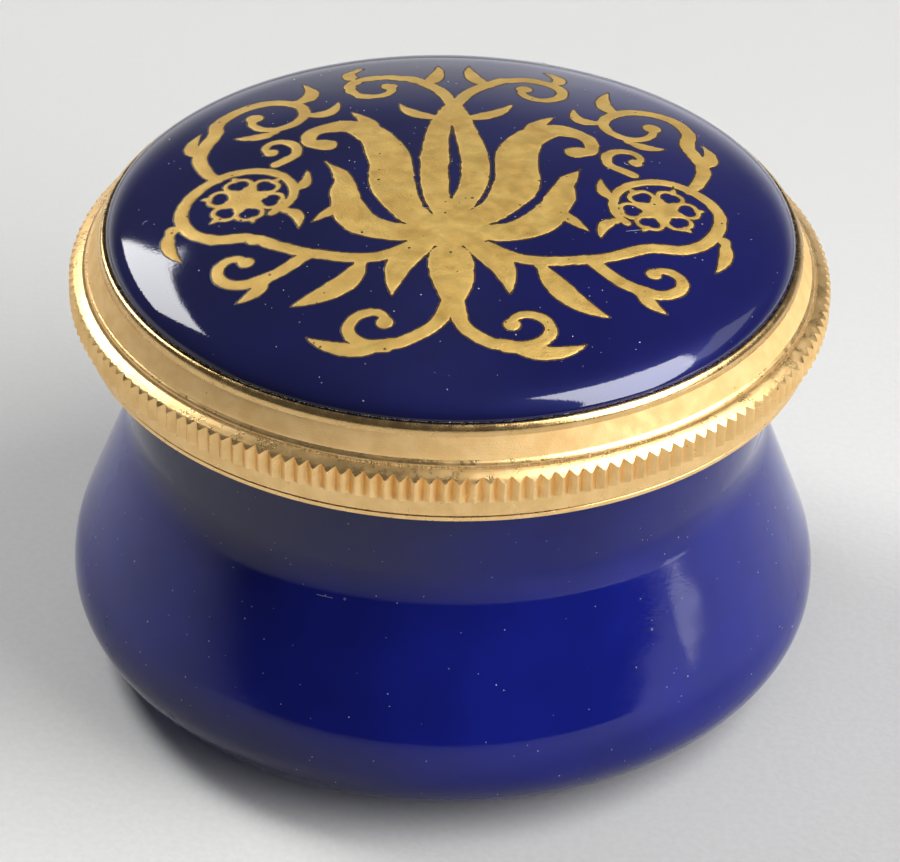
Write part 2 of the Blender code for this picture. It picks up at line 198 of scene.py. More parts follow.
def on_line(corner, other, height):
    """Point on the line from corner to other, at that height."""
    share = (height - corner[1]) / (other[1] - corner[1])
    return (corner[0] + (other[0] - corner[0]) * share, height)


def refined(section, step=SECTION_STEP):
    """The section with every long side cut into equal shorter ones, so that it shades evenly."""
    points = []
    for start, end in zip(section, section[1:]):
        pieces = max(1, math.ceil(math.dist(start, end) / step))
        for index in range(pieces):
            share = index / pieces
            points.append(tuple(a + (b - a) * share for a, b in zip(start, end)))
    points.append(section[-1])
    return points


def row_faces(rows):
    """Faces between rows of vertex numbers, each row run round the axis, the last joined to the first."""
    faces = []
    for upper, lower in zip(rows, rows[1:] + rows[:1]):
        for index in range(len(upper) - 1):
            corners = (upper[index], lower[index], lower[index + 1], upper[index + 1])
            face = tuple(dict.fromkeys(corners))
            if len(face) > 2:
                faces.append(face)
    return faces


def bar_faces(rows):
    """Faces of a four-sided bar between its rows of vertex numbers, with its two ends."""
    faces = [tuple(rows[0][::-1]), tuple(rows[-1])]
    for near, far in zip(rows, rows[1:]):
        for corner in range(4):
            after = (corner + 1) % 4
            faces.append((near[corner], near[after], far[after], far[corner]))
    return faces


def angles_round(count):
    """Angles at so many equal steps round the axis."""
    return np.arange(count) / count * 2 * math.pi


def turned(section):
    """Points and faces of a closed section (r, z) turned round the axis, its outer side run first."""
    angles = angles_round(SECTORS)
    points = []
    rows = []
    for radius, height in section:
        first = len(points)
        if radius < ON_AXIS:
            points.append((0.0, 0.0, height))
            rows.append([first] * (SECTORS + 1))
        else:
            points.extend(map(tuple, around(radius, angles, height)))
            rows.append([first + index % SECTORS for index in range(SECTORS + 1)])
    return points, row_faces(rows)


def joined(*parts):
    """Points and faces of several meshes as one."""
    points = []
    faces = []
    for part_points, part_faces in parts:
        first = len(points)
        points += [tuple(point) for point in part_points]
        faces += [tuple(first + corner for corner in face) for face in part_faces]
    return points, faces


def body_side(k, inset):
    """Body side from the neck down to the edge of the base, moved inward by inset."""
    neck = (k.neck_radius - inset, k.neck_height)
    waist = (k.waist_radius - inset, k.waist_height)
    belly = (k.belly_radius - inset, k.belly_height)
    widest = (k.belly_radius - inset, k.foot_height)
    above_waist = on_line(waist, neck, k.waist_height + k.waist_bend)
    below_waist = on_line(waist, belly, k.waist_height - k.waist_bend)
    above_belly = on_line(belly, waist, 2 * k.belly_height - k.foot_height)
    side = [neck]
    side += bend(above_waist, waist, below_waist, SIDE_STEPS)
    side += bend(above_belly, belly, widest, SIDE_STEPS)
    for step in range(1, SIDE_STEPS + 1):
        angle = -math.pi / 2 * step / SIDE_STEPS
        r = k.base_radius + (k.belly_radius - k.base_radius - inset) * math.cos(angle)
        z = k.foot_height + (k.foot_height - inset) * math.sin(angle)
        side.append((r, z))
    return side


def body_layer(k, inset, rise):
    """One side of a body layer from its rim down to the axis, its rim raised by rise."""
    side = body_side(k, inset)
    side[0] = (side[0][0], side[0][1] + rise)
    side.append((k.hollow_radius, inset))
    side.append((k.hollow_radius - k.hollow_slope, k.hollow_depth + inset))
    side.append((0.0, k.hollow_depth + inset))
    return refined(side)


def dome_surface(k, radius, inset=0.0):
    """Height of the lid's blue surface at a radius, moved inward by inset."""
    start = k.plaque_radius - k.shoulder_run
    base = k.lip_top + k.shoulder_rise - inset
    sphere = (start**2 + k.dome_height**2) / (2 * k.dome_height)
    radius = np.asarray(radius, dtype=float)
    cap = base + np.sqrt(sphere**2 - np.minimum(radius, start) ** 2) - (sphere - k.dome_height)
    end = k.plaque_radius - inset
    share = 1 - np.sqrt(np.clip((end - radius) / (end - start), 0.0, 1.0))
    corner = base - (end - start) * start / math.sqrt(sphere**2 - start**2)
    shoulder = rounded(base, corner, k.lip_top, share)
    return np.where(radius <= start, cap, shoulder)


def plaque_side(k, inset, low):
    """Plaque surface from the axis over the shoulder down to the height low, moved inward by inset."""
    start = k.plaque_radius - k.shoulder_run
    end = k.plaque_radius - inset
    flat = np.linspace(0.0, start, DOME_STEPS + 1)[:-1]
    share = np.linspace(0.0, 1.0, SHOULDER_STEPS + 1)
    shoulder = end - (end - start) * (1 - share) ** 2
    radii = np.concatenate([flat, shoulder])
    heights = dome_surface(k, radii, inset)
    return [*zip(radii.tolist(), heights.tolist()), (end, low)]


# Node helpers ----------------------------------------


def feed(node, inputs):
    """Give a node its inputs, each a value or another node's socket."""
    for name, value in inputs.items():
        socket = node.inputs[name]
        if isinstance(value, bpy.types.NodeSocket):
            node.id_data.links.new(value, socket)
        else:
            socket.default_value = value


def add_node(tree, kind, inputs=None, **settings):
    """New node with its settings and its inputs."""
    node = tree.nodes.new(kind)
    for name, value in settings.items():
        setattr(node, name, value)
    feed(node, inputs or {})
    return node


def calculate(tree, operation, first, second=0.0, third=0.0):
    """Output of a Math node."""
    inputs = {0: first, 1: second, 2: third}
    return add_node(tree, "ShaderNodeMath", inputs, operation=operation).outputs[0]


def blend_colours(tree, mask, first, second):
    """Colour that goes from first to second, each a socket or a shade, as the mask goes from 0 to 1."""
    first, second = (rgba(end) if isinstance(end, tuple) else end for end in (first, second))
    return add_node(tree, "ShaderNodeMix", {0: mask, 6: first, 7: second}, data_type="RGBA").outputs[2]


def blend_values(tree, mask, first, second):
    """Value that goes from first to second as the mask goes from 0 to 1."""
    return add_node(tree, "ShaderNodeMix", {0: mask, 2: first, 3: second}).outputs[0]


def fade(tree, value, start, end, low=0.0, high=1.0):
    """Value eased from low to high as the input goes from start to end."""
    inputs = {"Value": value, "From Min": start, "From Max": end, "To Min": low, "To Max": high}
    node = add_node(tree, "ShaderNodeMapRange", inputs, interpolation_type="SMOOTHSTEP")
    return node.outputs[0]


def coordinates(tree, kind="Object"):
    """X, Y and Z of the surface's point in the box's own metres, or of a direction into the room."""
    point = add_node(tree, "ShaderNodeTexCoord").outputs[kind]
    return add_node(tree, "ShaderNodeSeparateXYZ", {0: point}).outputs


def new_group(name, inputs, outputs):
    """Empty shader node group with float inputs and outputs, and its two end nodes."""
    group = bpy.data.node_groups.new(name, "ShaderNodeTree")
    for socket_name, value in inputs.items():
        socket = group.interface.new_socket(socket_name, in_out="INPUT", socket_type="NodeSocketFloat")
        socket.default_value = value
    for socket_name in outputs:
        group.interface.new_socket(socket_name, in_out="OUTPUT", socket_type="NodeSocketFloat")
    return group, group.nodes.new("NodeGroupInput").outputs, group.nodes.new("NodeGroupOutput")


# Noise values between which a cloud goes from low to high, and the share of a speck that is solid
CLOUD_EDGES = (0.3, 0.7)
SPECK_CORE = 0.6


def specks_group(name):
    """Small round specks scattered over the surface: their mask, and a value of its own for each."""
    group, start, end = new_group(name, {"Scale": 900.0, "Size": 0.25, "Share": 0.3}, ["Mask", "Shade"])
    point = add_node(group, "ShaderNodeTexCoord").outputs["Object"]
    cells = add_node(group, "ShaderNodeTexVoronoi", {"Vector": point, "Scale": start["Scale"]}).outputs
    parts = add_node(group, "ShaderNodeSeparateColor", {0: cells["Color"]}).outputs
    chosen = calculate(group, "LESS_THAN", parts[0], start["Share"])
    size = calculate(group, "MULTIPLY", parts[1], start["Size"])
    inner = calculate(group, "MULTIPLY", size, SPECK_CORE)
    near = calculate(group, "SUBTRACT", 1.0, fade(group, cells["Distance"], inner, size))
    feed(end, {"Mask": calculate(group, "MULTIPLY", near, chosen), "Shade": parts[2]})
    return group


def mottle_group(name):
    """Soft cloudy variation between a low and a high value."""
    inputs = {"Scale": 200.0, "Detail": 3.0, "Low": 0.0, "High": 1.0}
    group, start, end = new_group(name, inputs, ["Value"])
    point = add_node(group, "ShaderNodeTexCoord").outputs["Object"]
    noise = {"Vector": point, "Scale": start["Scale"], "Detail": start["Detail"]}
    clouds = add_node(group, "ShaderNodeTexNoise", noise).outputs[0]
    feed(end, {"Value": fade(group, clouds, *CLOUD_EDGES, start["Low"], start["High"])})
    return group


def turning_group(name):
    """Fine lines left by turning, round the box's axis, broken here and there along their run."""
    group, start, end = new_group(name, {"Lines": 6000.0, "Run": 3.0}, ["Height"])
    x, y, z = coordinates(group)
    square = calculate(group, "MULTIPLY_ADD", x, x, calculate(group, "MULTIPLY", y, y))
    radius = calculate(group, "SQRT", square)
    across = calculate(group, "MULTIPLY", calculate(group, "SUBTRACT", z, radius), start["Lines"])
    along = calculate(group, "MULTIPLY", calculate(group, "ARCTAN2", y, x), start["Run"])
    depth = calculate(group, "MULTIPLY", calculate(group, "ADD", z, radius), start["Lines"])
    point = add_node(group, "ShaderNodeCombineXYZ", {0: across, 1: along, 2: depth}).outputs[0]
    noise = {"Vector": point, "Scale": 1.0, "Detail": 2.0}
    feed(end, {"Height": add_node(group, "ShaderNodeTexNoise", noise).outputs[0]})
    return group


# Effects that several materials share, each a node group built the first time it is asked for
EFFECTS = {
    "scattered_specks": specks_group,
    "cloudy_mottle": mottle_group,
    "turning_lines": turning_group,
}


def effect(tree, name, **inputs):
    """Outputs of a shared effect with this material's own values."""
    node = tree.nodes.new("ShaderNodeGroup")
    node.node_tree = bpy.data.node_groups.get(name) or EFFECTS[name](name)
    feed(node, inputs)
    return node.outputs


def mottle(tree, scale, detail, low=0.0, high=1.0):
    """Value that wanders in soft clouds, of a scale and a detail, between low and high."""
    return effect(tree, "cloudy_mottle", Scale=scale, Detail=detail, Low=low, High=high)["Value"]


def new_finish(name):
    """New material and its Principled shader."""
    material = bpy.data.materials.new(name)
    material.use_nodes = True
    return material, material.node_tree, material.node_tree.nodes["Principled BSDF"]


def rgba(shade):
    """Colour with full alpha."""
    return (*shade, 1.0)


def tinted(shade, factors):
    """The shade with its channels multiplied by one factor, or by one each."""
    return tuple((np.array(shade) * factors).tolist())


def cloudy_shade(tree, scale, detail, shade, factors):
    """Colour that wanders in soft clouds between the shade and the same shade times the factors."""
    return blend_colours(tree, mottle(tree, scale, detail), tinted(shade, factors), tuple(shade))


def bumped(tree, height, distance):
    """Normal bumped by a height, in shares of a distance in metres."""
    return add_node(tree, "ShaderNodeBump", {"Height": height, "Distance": distance}).outputs[0]


# Finishes ----------------------------------------

# Colours of the specks in the enamel and the gilt and of the pin-holes in the fired gold
ENAMEL_DUST = (0.3, 0.3, 0.36)
TARNISH = (0.34, 0.17, 0.06)
UNDER_GOLD = (0.05, 0.025, 0.01)

# How the worn parts of the gilt and of the fired gold are darker in each channel
GILT_WORN = (0.9, 0.86, 0.78)
GOLD_WORN = (0.82, 0.76, 0.66)

# Heights in metres of the relief in the metals, in the enamels and in the paper
GRAIN_HEIGHT = 0.00001
BODY_RIPPLE = 0.000004
LID_RIPPLE = 0.000003
LINING_RIPPLE = 0.000006
PAPER_RELIEF = 0.000008

# Refractive index of the glazes, and the tint of the dull layer in the lid's
GLAZE_INDEX = 1.53
BODY_GLAZE_INDEX = 1.39
LID_HAZE = (0.08, 0.11, 0.4)

# Where along X the lid's glaze goes from painted shade at -X to painted light at +X, and its dull layer from
# rough to smooth
SHADED_TO_LIT = (-0.006, 0.016)
ROUGH_TO_SMOOTH = (-0.009, 0.009, 0.9, 0.3)

# Paper: how much darker its grain is, how much painted shade darkens its far part and its front edge, and
# where along Y those fade in
PAPER_GRAIN = 0.955
PAPER_BACK_SHADE = (0.92, -0.02, 0.07)
PAPER_FRONT_SHADE = (0.8, -0.035, -0.11)


def enamel_finish(name, shade, ripple, index=GLAZE_INDEX, haze=None, spread=0.14):
    """Glossy vitreous enamel: faint clouds in the colour, a slight ripple and specks of dust.

    With haze, a tinted dull layer lies under the clear one, and the glaze is painted darker towards -X and
    paler towards +X, as painted shade and painted light.
    """
    material, tree, shader = new_finish(name)
    tone_and_painted_light = mottle(tree, 160.0, 4.0)
    across = coordinates(tree)[0]
    # On the lid the tone follows X: the glaze darker at -X as painted shade and paler at +X as painted light
    if haze:
        tone_and_painted_light = blend_values(tree, 0.25, fade(tree, across, *SHADED_TO_LIT), tone_and_painted_light)
    glaze = blend_colours(tree, tone_and_painted_light, tinted(shade, 1 - spread), tinted(shade, 1 + spread))
    specks = effect(tree, "scattered_specks", Scale=1100.0, Size=0.12, Share=0.1)["Mask"]
    dusty = calculate(tree, "MULTIPLY", specks, 0.5)
    relief = calculate(tree, "ADD", mottle(tree, 330.0, 1.0), mottle(tree, 6000.0, 2.0, high=0.18))
    normal = bumped(tree, relief, ripple)
    feed(shader, {
        "Base Color": blend_colours(tree, dusty, glaze, ENAMEL_DUST),
        "IOR": index,
        "Normal": normal,
        "Coat Normal": normal,
    })
    if haze:
        feed(shader, {
            "Roughness": fade(tree, across, *ROUGH_TO_SMOOTH),
            "Specular Tint": rgba(haze),
            "Coat Weight": 1.0,
            "Coat Roughness": 0.05,
            "Coat IOR": index,
        })
    else:
        smooth = mottle(tree, 420.0, 5.0, 0.035, 0.085)
        feed(shader, {"Roughness": blend_values(tree, specks, smooth, 0.5)})
    return material


def gilt_finish(name, shade, roughness, grain, lines, metallic, brushed, bright):
    """Gilt metal with fine grain, turning lines and small tarnished spots."""
    material, tree, shader = new_finish(name)
    metal = cloudy_shade(tree, 900.0, 5.0, tinted(shade, bright), GILT_WORN)
    specks = effect(tree, "scattered_specks", Scale=2600.0, Size=0.24, Share=0.06)["Mask"]
    spots = calculate(tree, "MULTIPLY", specks, 0.5)
    turning = effect(tree, "turning_lines", Lines=11000.0, Run=2.5)["Height"]
    pits = mottle(tree, 11000.0, 2.0, -grain, grain)
    feed(shader, {
        "Base Color": blend_colours(tree, spots, metal, TARNISH),
        "Metallic": metallic,
        "Specular IOR Level": 0.1,
        "Roughness": mottle(tree, 1500.0, 4.0, roughness * 0.8, roughness * 1.25),
        "Anisotropic": brushed,
        "Normal": bumped(tree, calculate(tree, "MULTIPLY_ADD", turning, lines, pits), GRAIN_HEIGHT),
    })
    if brushed:
        round_axis = add_node(tree, "ShaderNodeTangent", direction_type="RADIAL", axis="Z")
        feed(shader, {"Tangent": round_axis.outputs[0], "Anisotropic Rotation": 0.25})
    return material


def fired_gold_finish(name, shade):
    """Matt fired gold with a granular surface and pin-holes that show the brown under it."""
    material, tree, shader = new_finish(name)
    gold = cloudy_shade(tree, 500.0, 6.0, shade, GOLD_WORN)
    holes = effect(tree, "scattered_specks", Scale=2600.0, Size=0.32, Share=0.14)["Mask"]
    grains = mottle(tree, 7000.0, 3.0)
    feed(shader, {
        "Base Color": blend_colours(tree, holes, gold, UNDER_GOLD),
        "Metallic": 0.5,
        "Roughness": mottle(tree, 1400.0, 3.0, 0.42, 0.6),
        "Normal": bumped(tree, calculate(tree, "SUBTRACT", grains, holes), GRAIN_HEIGHT),
    })
    return material


def copper_finish(name, shade):
    """Pressed copper, darkened in patches and scored by turning."""
    material, tree, shader = new_finish(name)
    scores = effect(tree, "turning_lines", Lines=5000.0, Run=2.0)["Height"]
    feed(shader, {
        "Base Color": cloudy_shade(tree, 300.0, 6.0, shade, 0.6),
        "Metallic": 1.0,
        "Roughness": mottle(tree, 800.0, 3.0, 0.3, 0.5),
        "Normal": bumped(tree, scores, 2 * GRAIN_HEIGHT),
    })
    return material


def dull_finish(name, shade, scale, detail, darker, roughness):
    """Plain dull finish in a cloudy shade, for dust and for the burnt flux at the gold's edge."""
    material, tree, shader = new_finish(name)
    clouds = cloudy_shade(tree, scale, detail, shade, darker)
    feed(shader, {"Base Color": clouds, "Roughness": roughness})
    return material


def paper_finish(name, shade):
    """Plain pale paper with a fine grain, and painted shade that greys it a little behind the box and
    towards its front edge.
    """
    material, tree, shader = new_finish(name)
    grain = mottle(tree, 2200.0, 5.0)
    depth = coordinates(tree)[1]
    paper = blend_colours(tree, grain, tinted(shade, PAPER_GRAIN), shade)
    # Painted shade: the paper greyed behind the box and towards its front edge
    for factor, start, end in (PAPER_BACK_SHADE, PAPER_FRONT_SHADE):
        paper = blend_colours(tree, fade(tree, depth, start, end), paper, tinted(shade, factor))
    feed(shader, {"Base Color": paper, "Roughness": 0.85, "Normal": bumped(tree, grain, PAPER_RELIEF)})
    return material


# Kinds of gilt: roughness, heights of the grain and of the turning lines, how metallic, brushed and bright
GILT_KINDS = {
    "polished": (0.24, 0.12, 0.3, 1.0, 0.0, 0.78),
    "satin": (0.7, 0.2, 0.6, 0.1, 0.75, 1.0),
    "milled": (0.34, 0.5, 0.4, 0.9, 0.0, 1.0),
    # The cove's gilt is darkened to 0.55: partly for its matt grain, partly as painted shade in that hollow
    "grainy": (0.42, 4.0, 0.6, 0.85, 0.0, 0.55),
    "band": (0.3, 0.2, 0.5, 0.95, 0.0, 1.0),
}

# Dull finishes: scale and detail of the clouds, how dark the darker tone is, and the roughness
DUST_LOOK = (3000.0, 3.0, 0.6, 0.9)
BURNT_LOOK = (1800.0, 4.0, 0.55, 0.45)

# The maker, the scene's colour and the values of each finish
FINISHES = {
    # One cobalt glaze as two finishes: the body's paler as painted light, the lid's darker as painted shade
    "body_enamel": (enamel_finish, "body_enamel", (BODY_RIPPLE, BODY_GLAZE_INDEX)),
    # The lid's spread of 0.5 sets how far its clouds and its painted shade and light along X darken and pale
    # the glaze
    "lid_enamel": (enamel_finish, "lid_enamel", (LID_RIPPLE, GLAZE_INDEX, LID_HAZE, 0.5)),
    "white_enamel": (enamel_finish, "white_enamel", (LINING_RIPPLE,)),
    "fired_gold": (fired_gold_finish, "fired_gold", ()),
    "gold_edge": (dull_finish, "gold_edge", BURNT_LOOK),
    "copper": (copper_finish, "copper", ()),
    "dust": (dull_finish, "dust", DUST_LOOK),
    # Gap dust: dust, darkened as painted shade of the gap round the plaque
    "gap_dust": (dull_finish, "gap_dust", DUST_LOOK),
    "paper": (paper_finish, "floor", ()),
    **{"gilt_" + kind: (gilt_finish, "gilt", values) for kind, values in GILT_KINDS.items()},
}


def finish_for(name):
    """The material of that name, made from the scene's colours the first time it is asked for."""
    known = bpy.data.materials.get("finish_" + name)
    if known:
        return known
    maker, shade, values = FINISHES[name]
    return maker("finish_" + name, tuple(getattr(bpy.context.scene.box_colours, shade)), *values)


# Screw thread ----------------------------------------

# Thread: its ridges, each half a turn long, how far each climbs, and in mm the height at which they start,
# their depth, their widths and how far they are sunk in the wall
THREAD_STARTS = 2
THREAD_RISE = 1.5
THREAD_HEIGHT = 22.61
THREAD_DEPTH = 0.3
THREAD_ROOT_WIDTH = 0.62
THREAD_CREST_WIDTH = 0.22
THREAD_SINK = 0.15
THREAD_STEPS = 96

# Share of a ridge's run over which it grows from its end, and its depth there as a share of the full one
THREAD_FADE = 0.14
THREAD_END = 0.15


def thread_ridges(root_radius, outward, first_degrees):
    """Points and faces of the thread's ridges, each half a turn long and sunk in the wall it grows from."""
    points = []
    faces = []
    for start in range(THREAD_STARTS):
        rows = []
        for index in range(THREAD_STEPS + 1):
            share = index / THREAD_STEPS
            angle = math.radians(first_degrees + 360 * start / THREAD_STARTS + 180 * share)
            height = THREAD_HEIGHT + THREAD_RISE * share
            grown = min(1.0, THREAD_END + (1 - THREAD_END) * min(share, 1 - share) / THREAD_FADE)
            crest = root_radius + outward * THREAD_DEPTH * grown
            buried = root_radius - outward * THREAD_SINK
            corners = [
                (buried, height + THREAD_ROOT_WIDTH / 2),
                (crest, height + THREAD_CREST_WIDTH / 2),
                (crest, height - THREAD_CREST_WIDTH / 2),
                (buried, height - THREAD_ROOT_WIDTH / 2),
            ]
            if outward < 0:
                corners.reverse()
            rows.append([len(points) + corner for corner in range(4)])
            points += [around(r, angle, z) for r, z in corners]
        faces += bar_faces(rows)
    return points, faces


# Milled ring ----------------------------------------

# Sections of the ring from its lip down to its milling, as radius and height in mm
LIP_SECTION = (
    (19.87, 27.02), (19.88, 27.09), (19.9, 27.14), (19.935, 27.172), (19.98, 27.18),
    (20.03, 27.168), (20.09, 27.14), (20.145, 27.105), (20.195, 27.06), (20.237, 27.01),
    (20.27, 26.95), (20.292, 26.87), (20.3, 26.78), (20.302, 26.69), (20.3, 26.6),
)
CONE_SECTION = ((20.3, 26.575), (20.821, 25.52))
BEAD_SECTION = (
    (20.862, 25.46), (20.91, 25.422), (20.966, 25.395), (21.013, 25.366), (21.052, 25.32),
    (21.076, 25.265), (21.083, 25.216),
)
COVE_SECTION = ((21.085, 25.19), (21.095, 25.155), (21.12, 25.125), (21.16, 25.103))
LAND_SECTION = ((21.22, 25.086), (21.3, 25.064), (21.4, 25.028), (21.5, 24.986), (21.6, 24.94))

# Inside of the ring: its bore, and the seat of the plaque's brim between the lip and the retaining ring
BORE_RADIUS = 20.4
SEAT_RADIUS = 20.1
SEAT_LOW = 24.95
SEAT_PLAY = 0.05
LIP_UNDERSIDE = 25.89
BAND_BEVEL = 0.06

# Milling: columns of points to a groove, the crest's share of it, and how unevenly deep the grooves are
GROOVE_COLUMNS = 8
CREST_SHARE = 0.12
GROOVE_SPREAD = 0.02
GROOVE_SEED = 5

# Chamfer over the milling: how far it drops to the crest and how round it is
CHAMFER_DROP = 0.26
CHAMFER_ROUNDING = 1.4

# Rows of points down the chamfer, and down the grooves as well as down their run-out
CHAMFER_ROWS = 5
GROOVE_ROWS = 4


def milled_surface(k):
    """Radius of the milled surface at each column, with grooves a little uneven as on worn work."""
    count = k.milling_count
    chance = np.random.default_rng(GROOVE_SEED)
    depth = k.milling_depth + chance.uniform(-GROOVE_SPREAD, GROOVE_SPREAD, count)
    place = np.arange(count * GROOVE_COLUMNS) % GROOVE_COLUMNS / GROOVE_COLUMNS
    from_crest = np.minimum(place, 1 - place) * 2
    slope = np.clip((from_crest - CREST_SHARE) / (1 - CREST_SHARE), 0.0, 1.0)
    return k.crest_radius - np.repeat(depth, GROOVE_COLUMNS) * slope


def milled_rows(k):
    """Rows of points of the milling, from its upper run-out down to its lower one."""
    surface = milled_surface(k)
    angle = angles_round(len(surface))
    land_high = k.milling_high - k.milling_chamfer
    land_low = k.milling_low + k.milling_foot_chamfer
    chamfer_radius = k.crest_radius - k.milling_chamfer
    start = np.minimum(surface, chamfer_radius)
    rows = []
    for share in np.linspace(0.0, 1.0, CHAMFER_ROWS):
        radius = start + (surface - start) * share
        out = (radius - chamfer_radius).clip(0.0) / k.milling_chamfer
        rows.append(around(radius, angle, k.milling_high - CHAMFER_DROP * out**CHAMFER_ROUNDING))
    top = rows[-1][:, 2]
    for height in np.linspace(land_high, land_low, GROOVE_ROWS):
        rows.append(around(surface, angle, np.minimum(height, top)))
    foot_slope = k.milling_foot_chamfer / (k.crest_radius - k.band_radius)
    for share in np.linspace(0.0, 1.0, GROOVE_ROWS):
        radius = surface + (k.band_radius - surface) * share
        rows.append(around(radius, angle, k.milling_low + (radius - k.band_radius) * foot_slope))
    return rows


def ring_mesh(k):
    """Points, faces and face finishes of the lid's gilt ring, without its thread."""
    columns = k.milling_count * GROOVE_COLUMNS
    angle = angles_round(columns)
    band = [
        (k.band_radius, k.bezel_foot + BAND_BEVEL),
        (k.band_radius - BAND_BEVEL, k.bezel_foot),
        (BORE_RADIUS + BAND_BEVEL, k.bezel_foot),
        (BORE_RADIUS, k.bezel_foot + BAND_BEVEL),
        (BORE_RADIUS, SEAT_LOW),
        (SEAT_RADIUS, SEAT_LOW),
        (SEAT_RADIUS, LIP_UNDERSIDE),
        (LIP_SECTION[0][0], LIP_UNDERSIDE),
    ]

    def plain(section):
        return [around(radius, angle, height) for radius, height in section]

    grooves = milled_rows(k)
    parts = (
        (plain(LIP_SECTION), "polished"),
        (plain(refined(CONE_SECTION, CONE_STEP)), "satin"),
        (plain(BEAD_SECTION), "band"),
        # The cove: grainy gilt, darkened partly as painted shade of the hollow
        (plain(COVE_SECTION), "grainy"),
        (plain(LAND_SECTION), "band"),
        (grooves[:CHAMFER_ROWS - 1], "band"),
        (grooves[CHAMFER_ROWS - 1:], "milled"),
        (plain(band), "band"),
    )
    points = np.concatenate([row for rows, kind in parts for row in rows])
    kinds = list(GILT_KINDS)
    row_finish = [kinds.index(kind) for rows, kind in parts for row in rows]
    starts = range(0, len(points), columns)
    faces = row_faces([(np.arange(columns + 1) % columns + start).tolist() for start in starts])
    return points, faces, np.repeat(row_finish, columns)


# Fired gold ----------------------------------------

# Grid on which the drawing is turned into a film, and how far from a line it is still measured, in mm
GRID_STEP = 0.1
GRID_REACH = 18.0
FAR = 0.6

# How finely a stem in mm, a leaf in steps and a scroll in degrees are drawn
PATH_STEP = 0.07
LEAF_STEPS = 59
COIL_STEP = 28

# Power of a leaf's swelling, under 1 for a full leaf
LEAF_FULLNESS = 0.85

# The edge of the gold: how far it wavers, more where the brush ran dry, over how many steps of the grid,
# how many patches there are across the lid, and the width of the burnt line round the gold
GOLD_SEED = 11
RAGGED_EDGE = 0.02
RAGGED_STEPS = 3
DRY_PATCHES = 16
BURNT_EDGE_WIDTH = 0.1

# The film's edge is sunk in the glaze; the gold and the burnt line rise from low to high over a width
FILM_SINK = 0.004
GOLD_LOW = 0.008
GOLD_ROUNDING = 0.14
BURNT_LAYER = (0.003, 0.005, 0.1)

# How a steady hand strays from the drawing: its scale, and the heights of a slow and a quick wave
HAND_SCALE = 0.975
HAND_SLOW = 0.13
HAND_QUICK = 0.08

# The palmette: pairs of a curve's points and the half widths there
PALMETTE = (
    (
        [
            (0.3, -5.4), (2.4, -3.4), (3.7, -0.4), (3.8, 2.8), (4.6, 5.5),
            (6.3, 7.0), (8.1, 6.4), (8.4, 4.9), (7.4, 4.4),
        ],
        [0.5, 0.95, 1.3, 1.25, 1.0, 0.75, 0.5, 0.42, 0.62],
    ),
    (
        [(0.4, -5.6), (3.2, -5.4), (5.3, -4.0), (6.2, -1.6), (6.5, 0.6), (7.5, 2.4)],
        [0.5, 0.85, 1.05, 0.85, 0.5, 0.04],
    ),
)

# Leaves of one half: base, control point, tip, half width, half width at the base, where it is fullest
LEAVES = (
    # on the palmette
    ((4.6, 5.6), (4.6, 7.4), (6.2, 9.0), 0.5, 0.4, 0.35),
    ((5.9, -2.6), (7.0, -3.2), (8.0, -4.4), 0.42, 0.4, 0.3),
    ((0.6, -6.4), (3.2, -7.2), (3.3, -11.2), 0.85, 0.5, 0.45),
    # on the scroll round the flower and the one under it
    ((5.0, -8.0), (5.6, -10.6), (9.0, -12.2), 0.72, 0.42, 0.5),
    ((10.6, -9.6), (11.0, -10.8), (12.2, -11.5), 0.42, 0.4, 0.35),
    ((16.0, -3.6), (16.5, -5.2), (15.2, -7.0), 0.42, 0.4, 0.35),
    ((9.3, -0.6), (8.5, -0.2), (8.7, 1.4), 0.36, 0.3, 0.35),
    ((9.6, -3.0), (8.6, -3.4), (8.7, -5.0), 0.38, 0.3, 0.35),
    # on the upper scroll
    ((15.0, 4.6), (16.1, 5.6), (15.0, 7.7), 0.45, 0.4, 0.35),
    ((9.9, 10.6), (8.2, 11.4), (9.5, 13.9), 0.5, 0.42, 0.4),
    ((9.0, 8.8), (7.2, 8.2), (7.2, 10.6), 0.44, 0.36, 0.4),
    ((10.6, 6.6), (11.6, 5.8), (13.0, 6.2), 0.4, 0.3, 0.4),
    # on the tendrils at the top and the foot
    ((1.9, 13.3), (0.7, 14.2), (0.9, 16.6), 0.48, 0.44, 0.35),
    ((6.0, 14.1), (7.0, 15.4), (5.6, 16.4), 0.4, 0.34, 0.35),
    ((0.7, 7.8), (2.6, 8.0), (3.4, 10.2), 0.46, 0.4, 0.4),
    ((3.4, -15.5), (5.6, -16.4), (7.8, -14.6), 0.5, 0.42, 0.45),
)

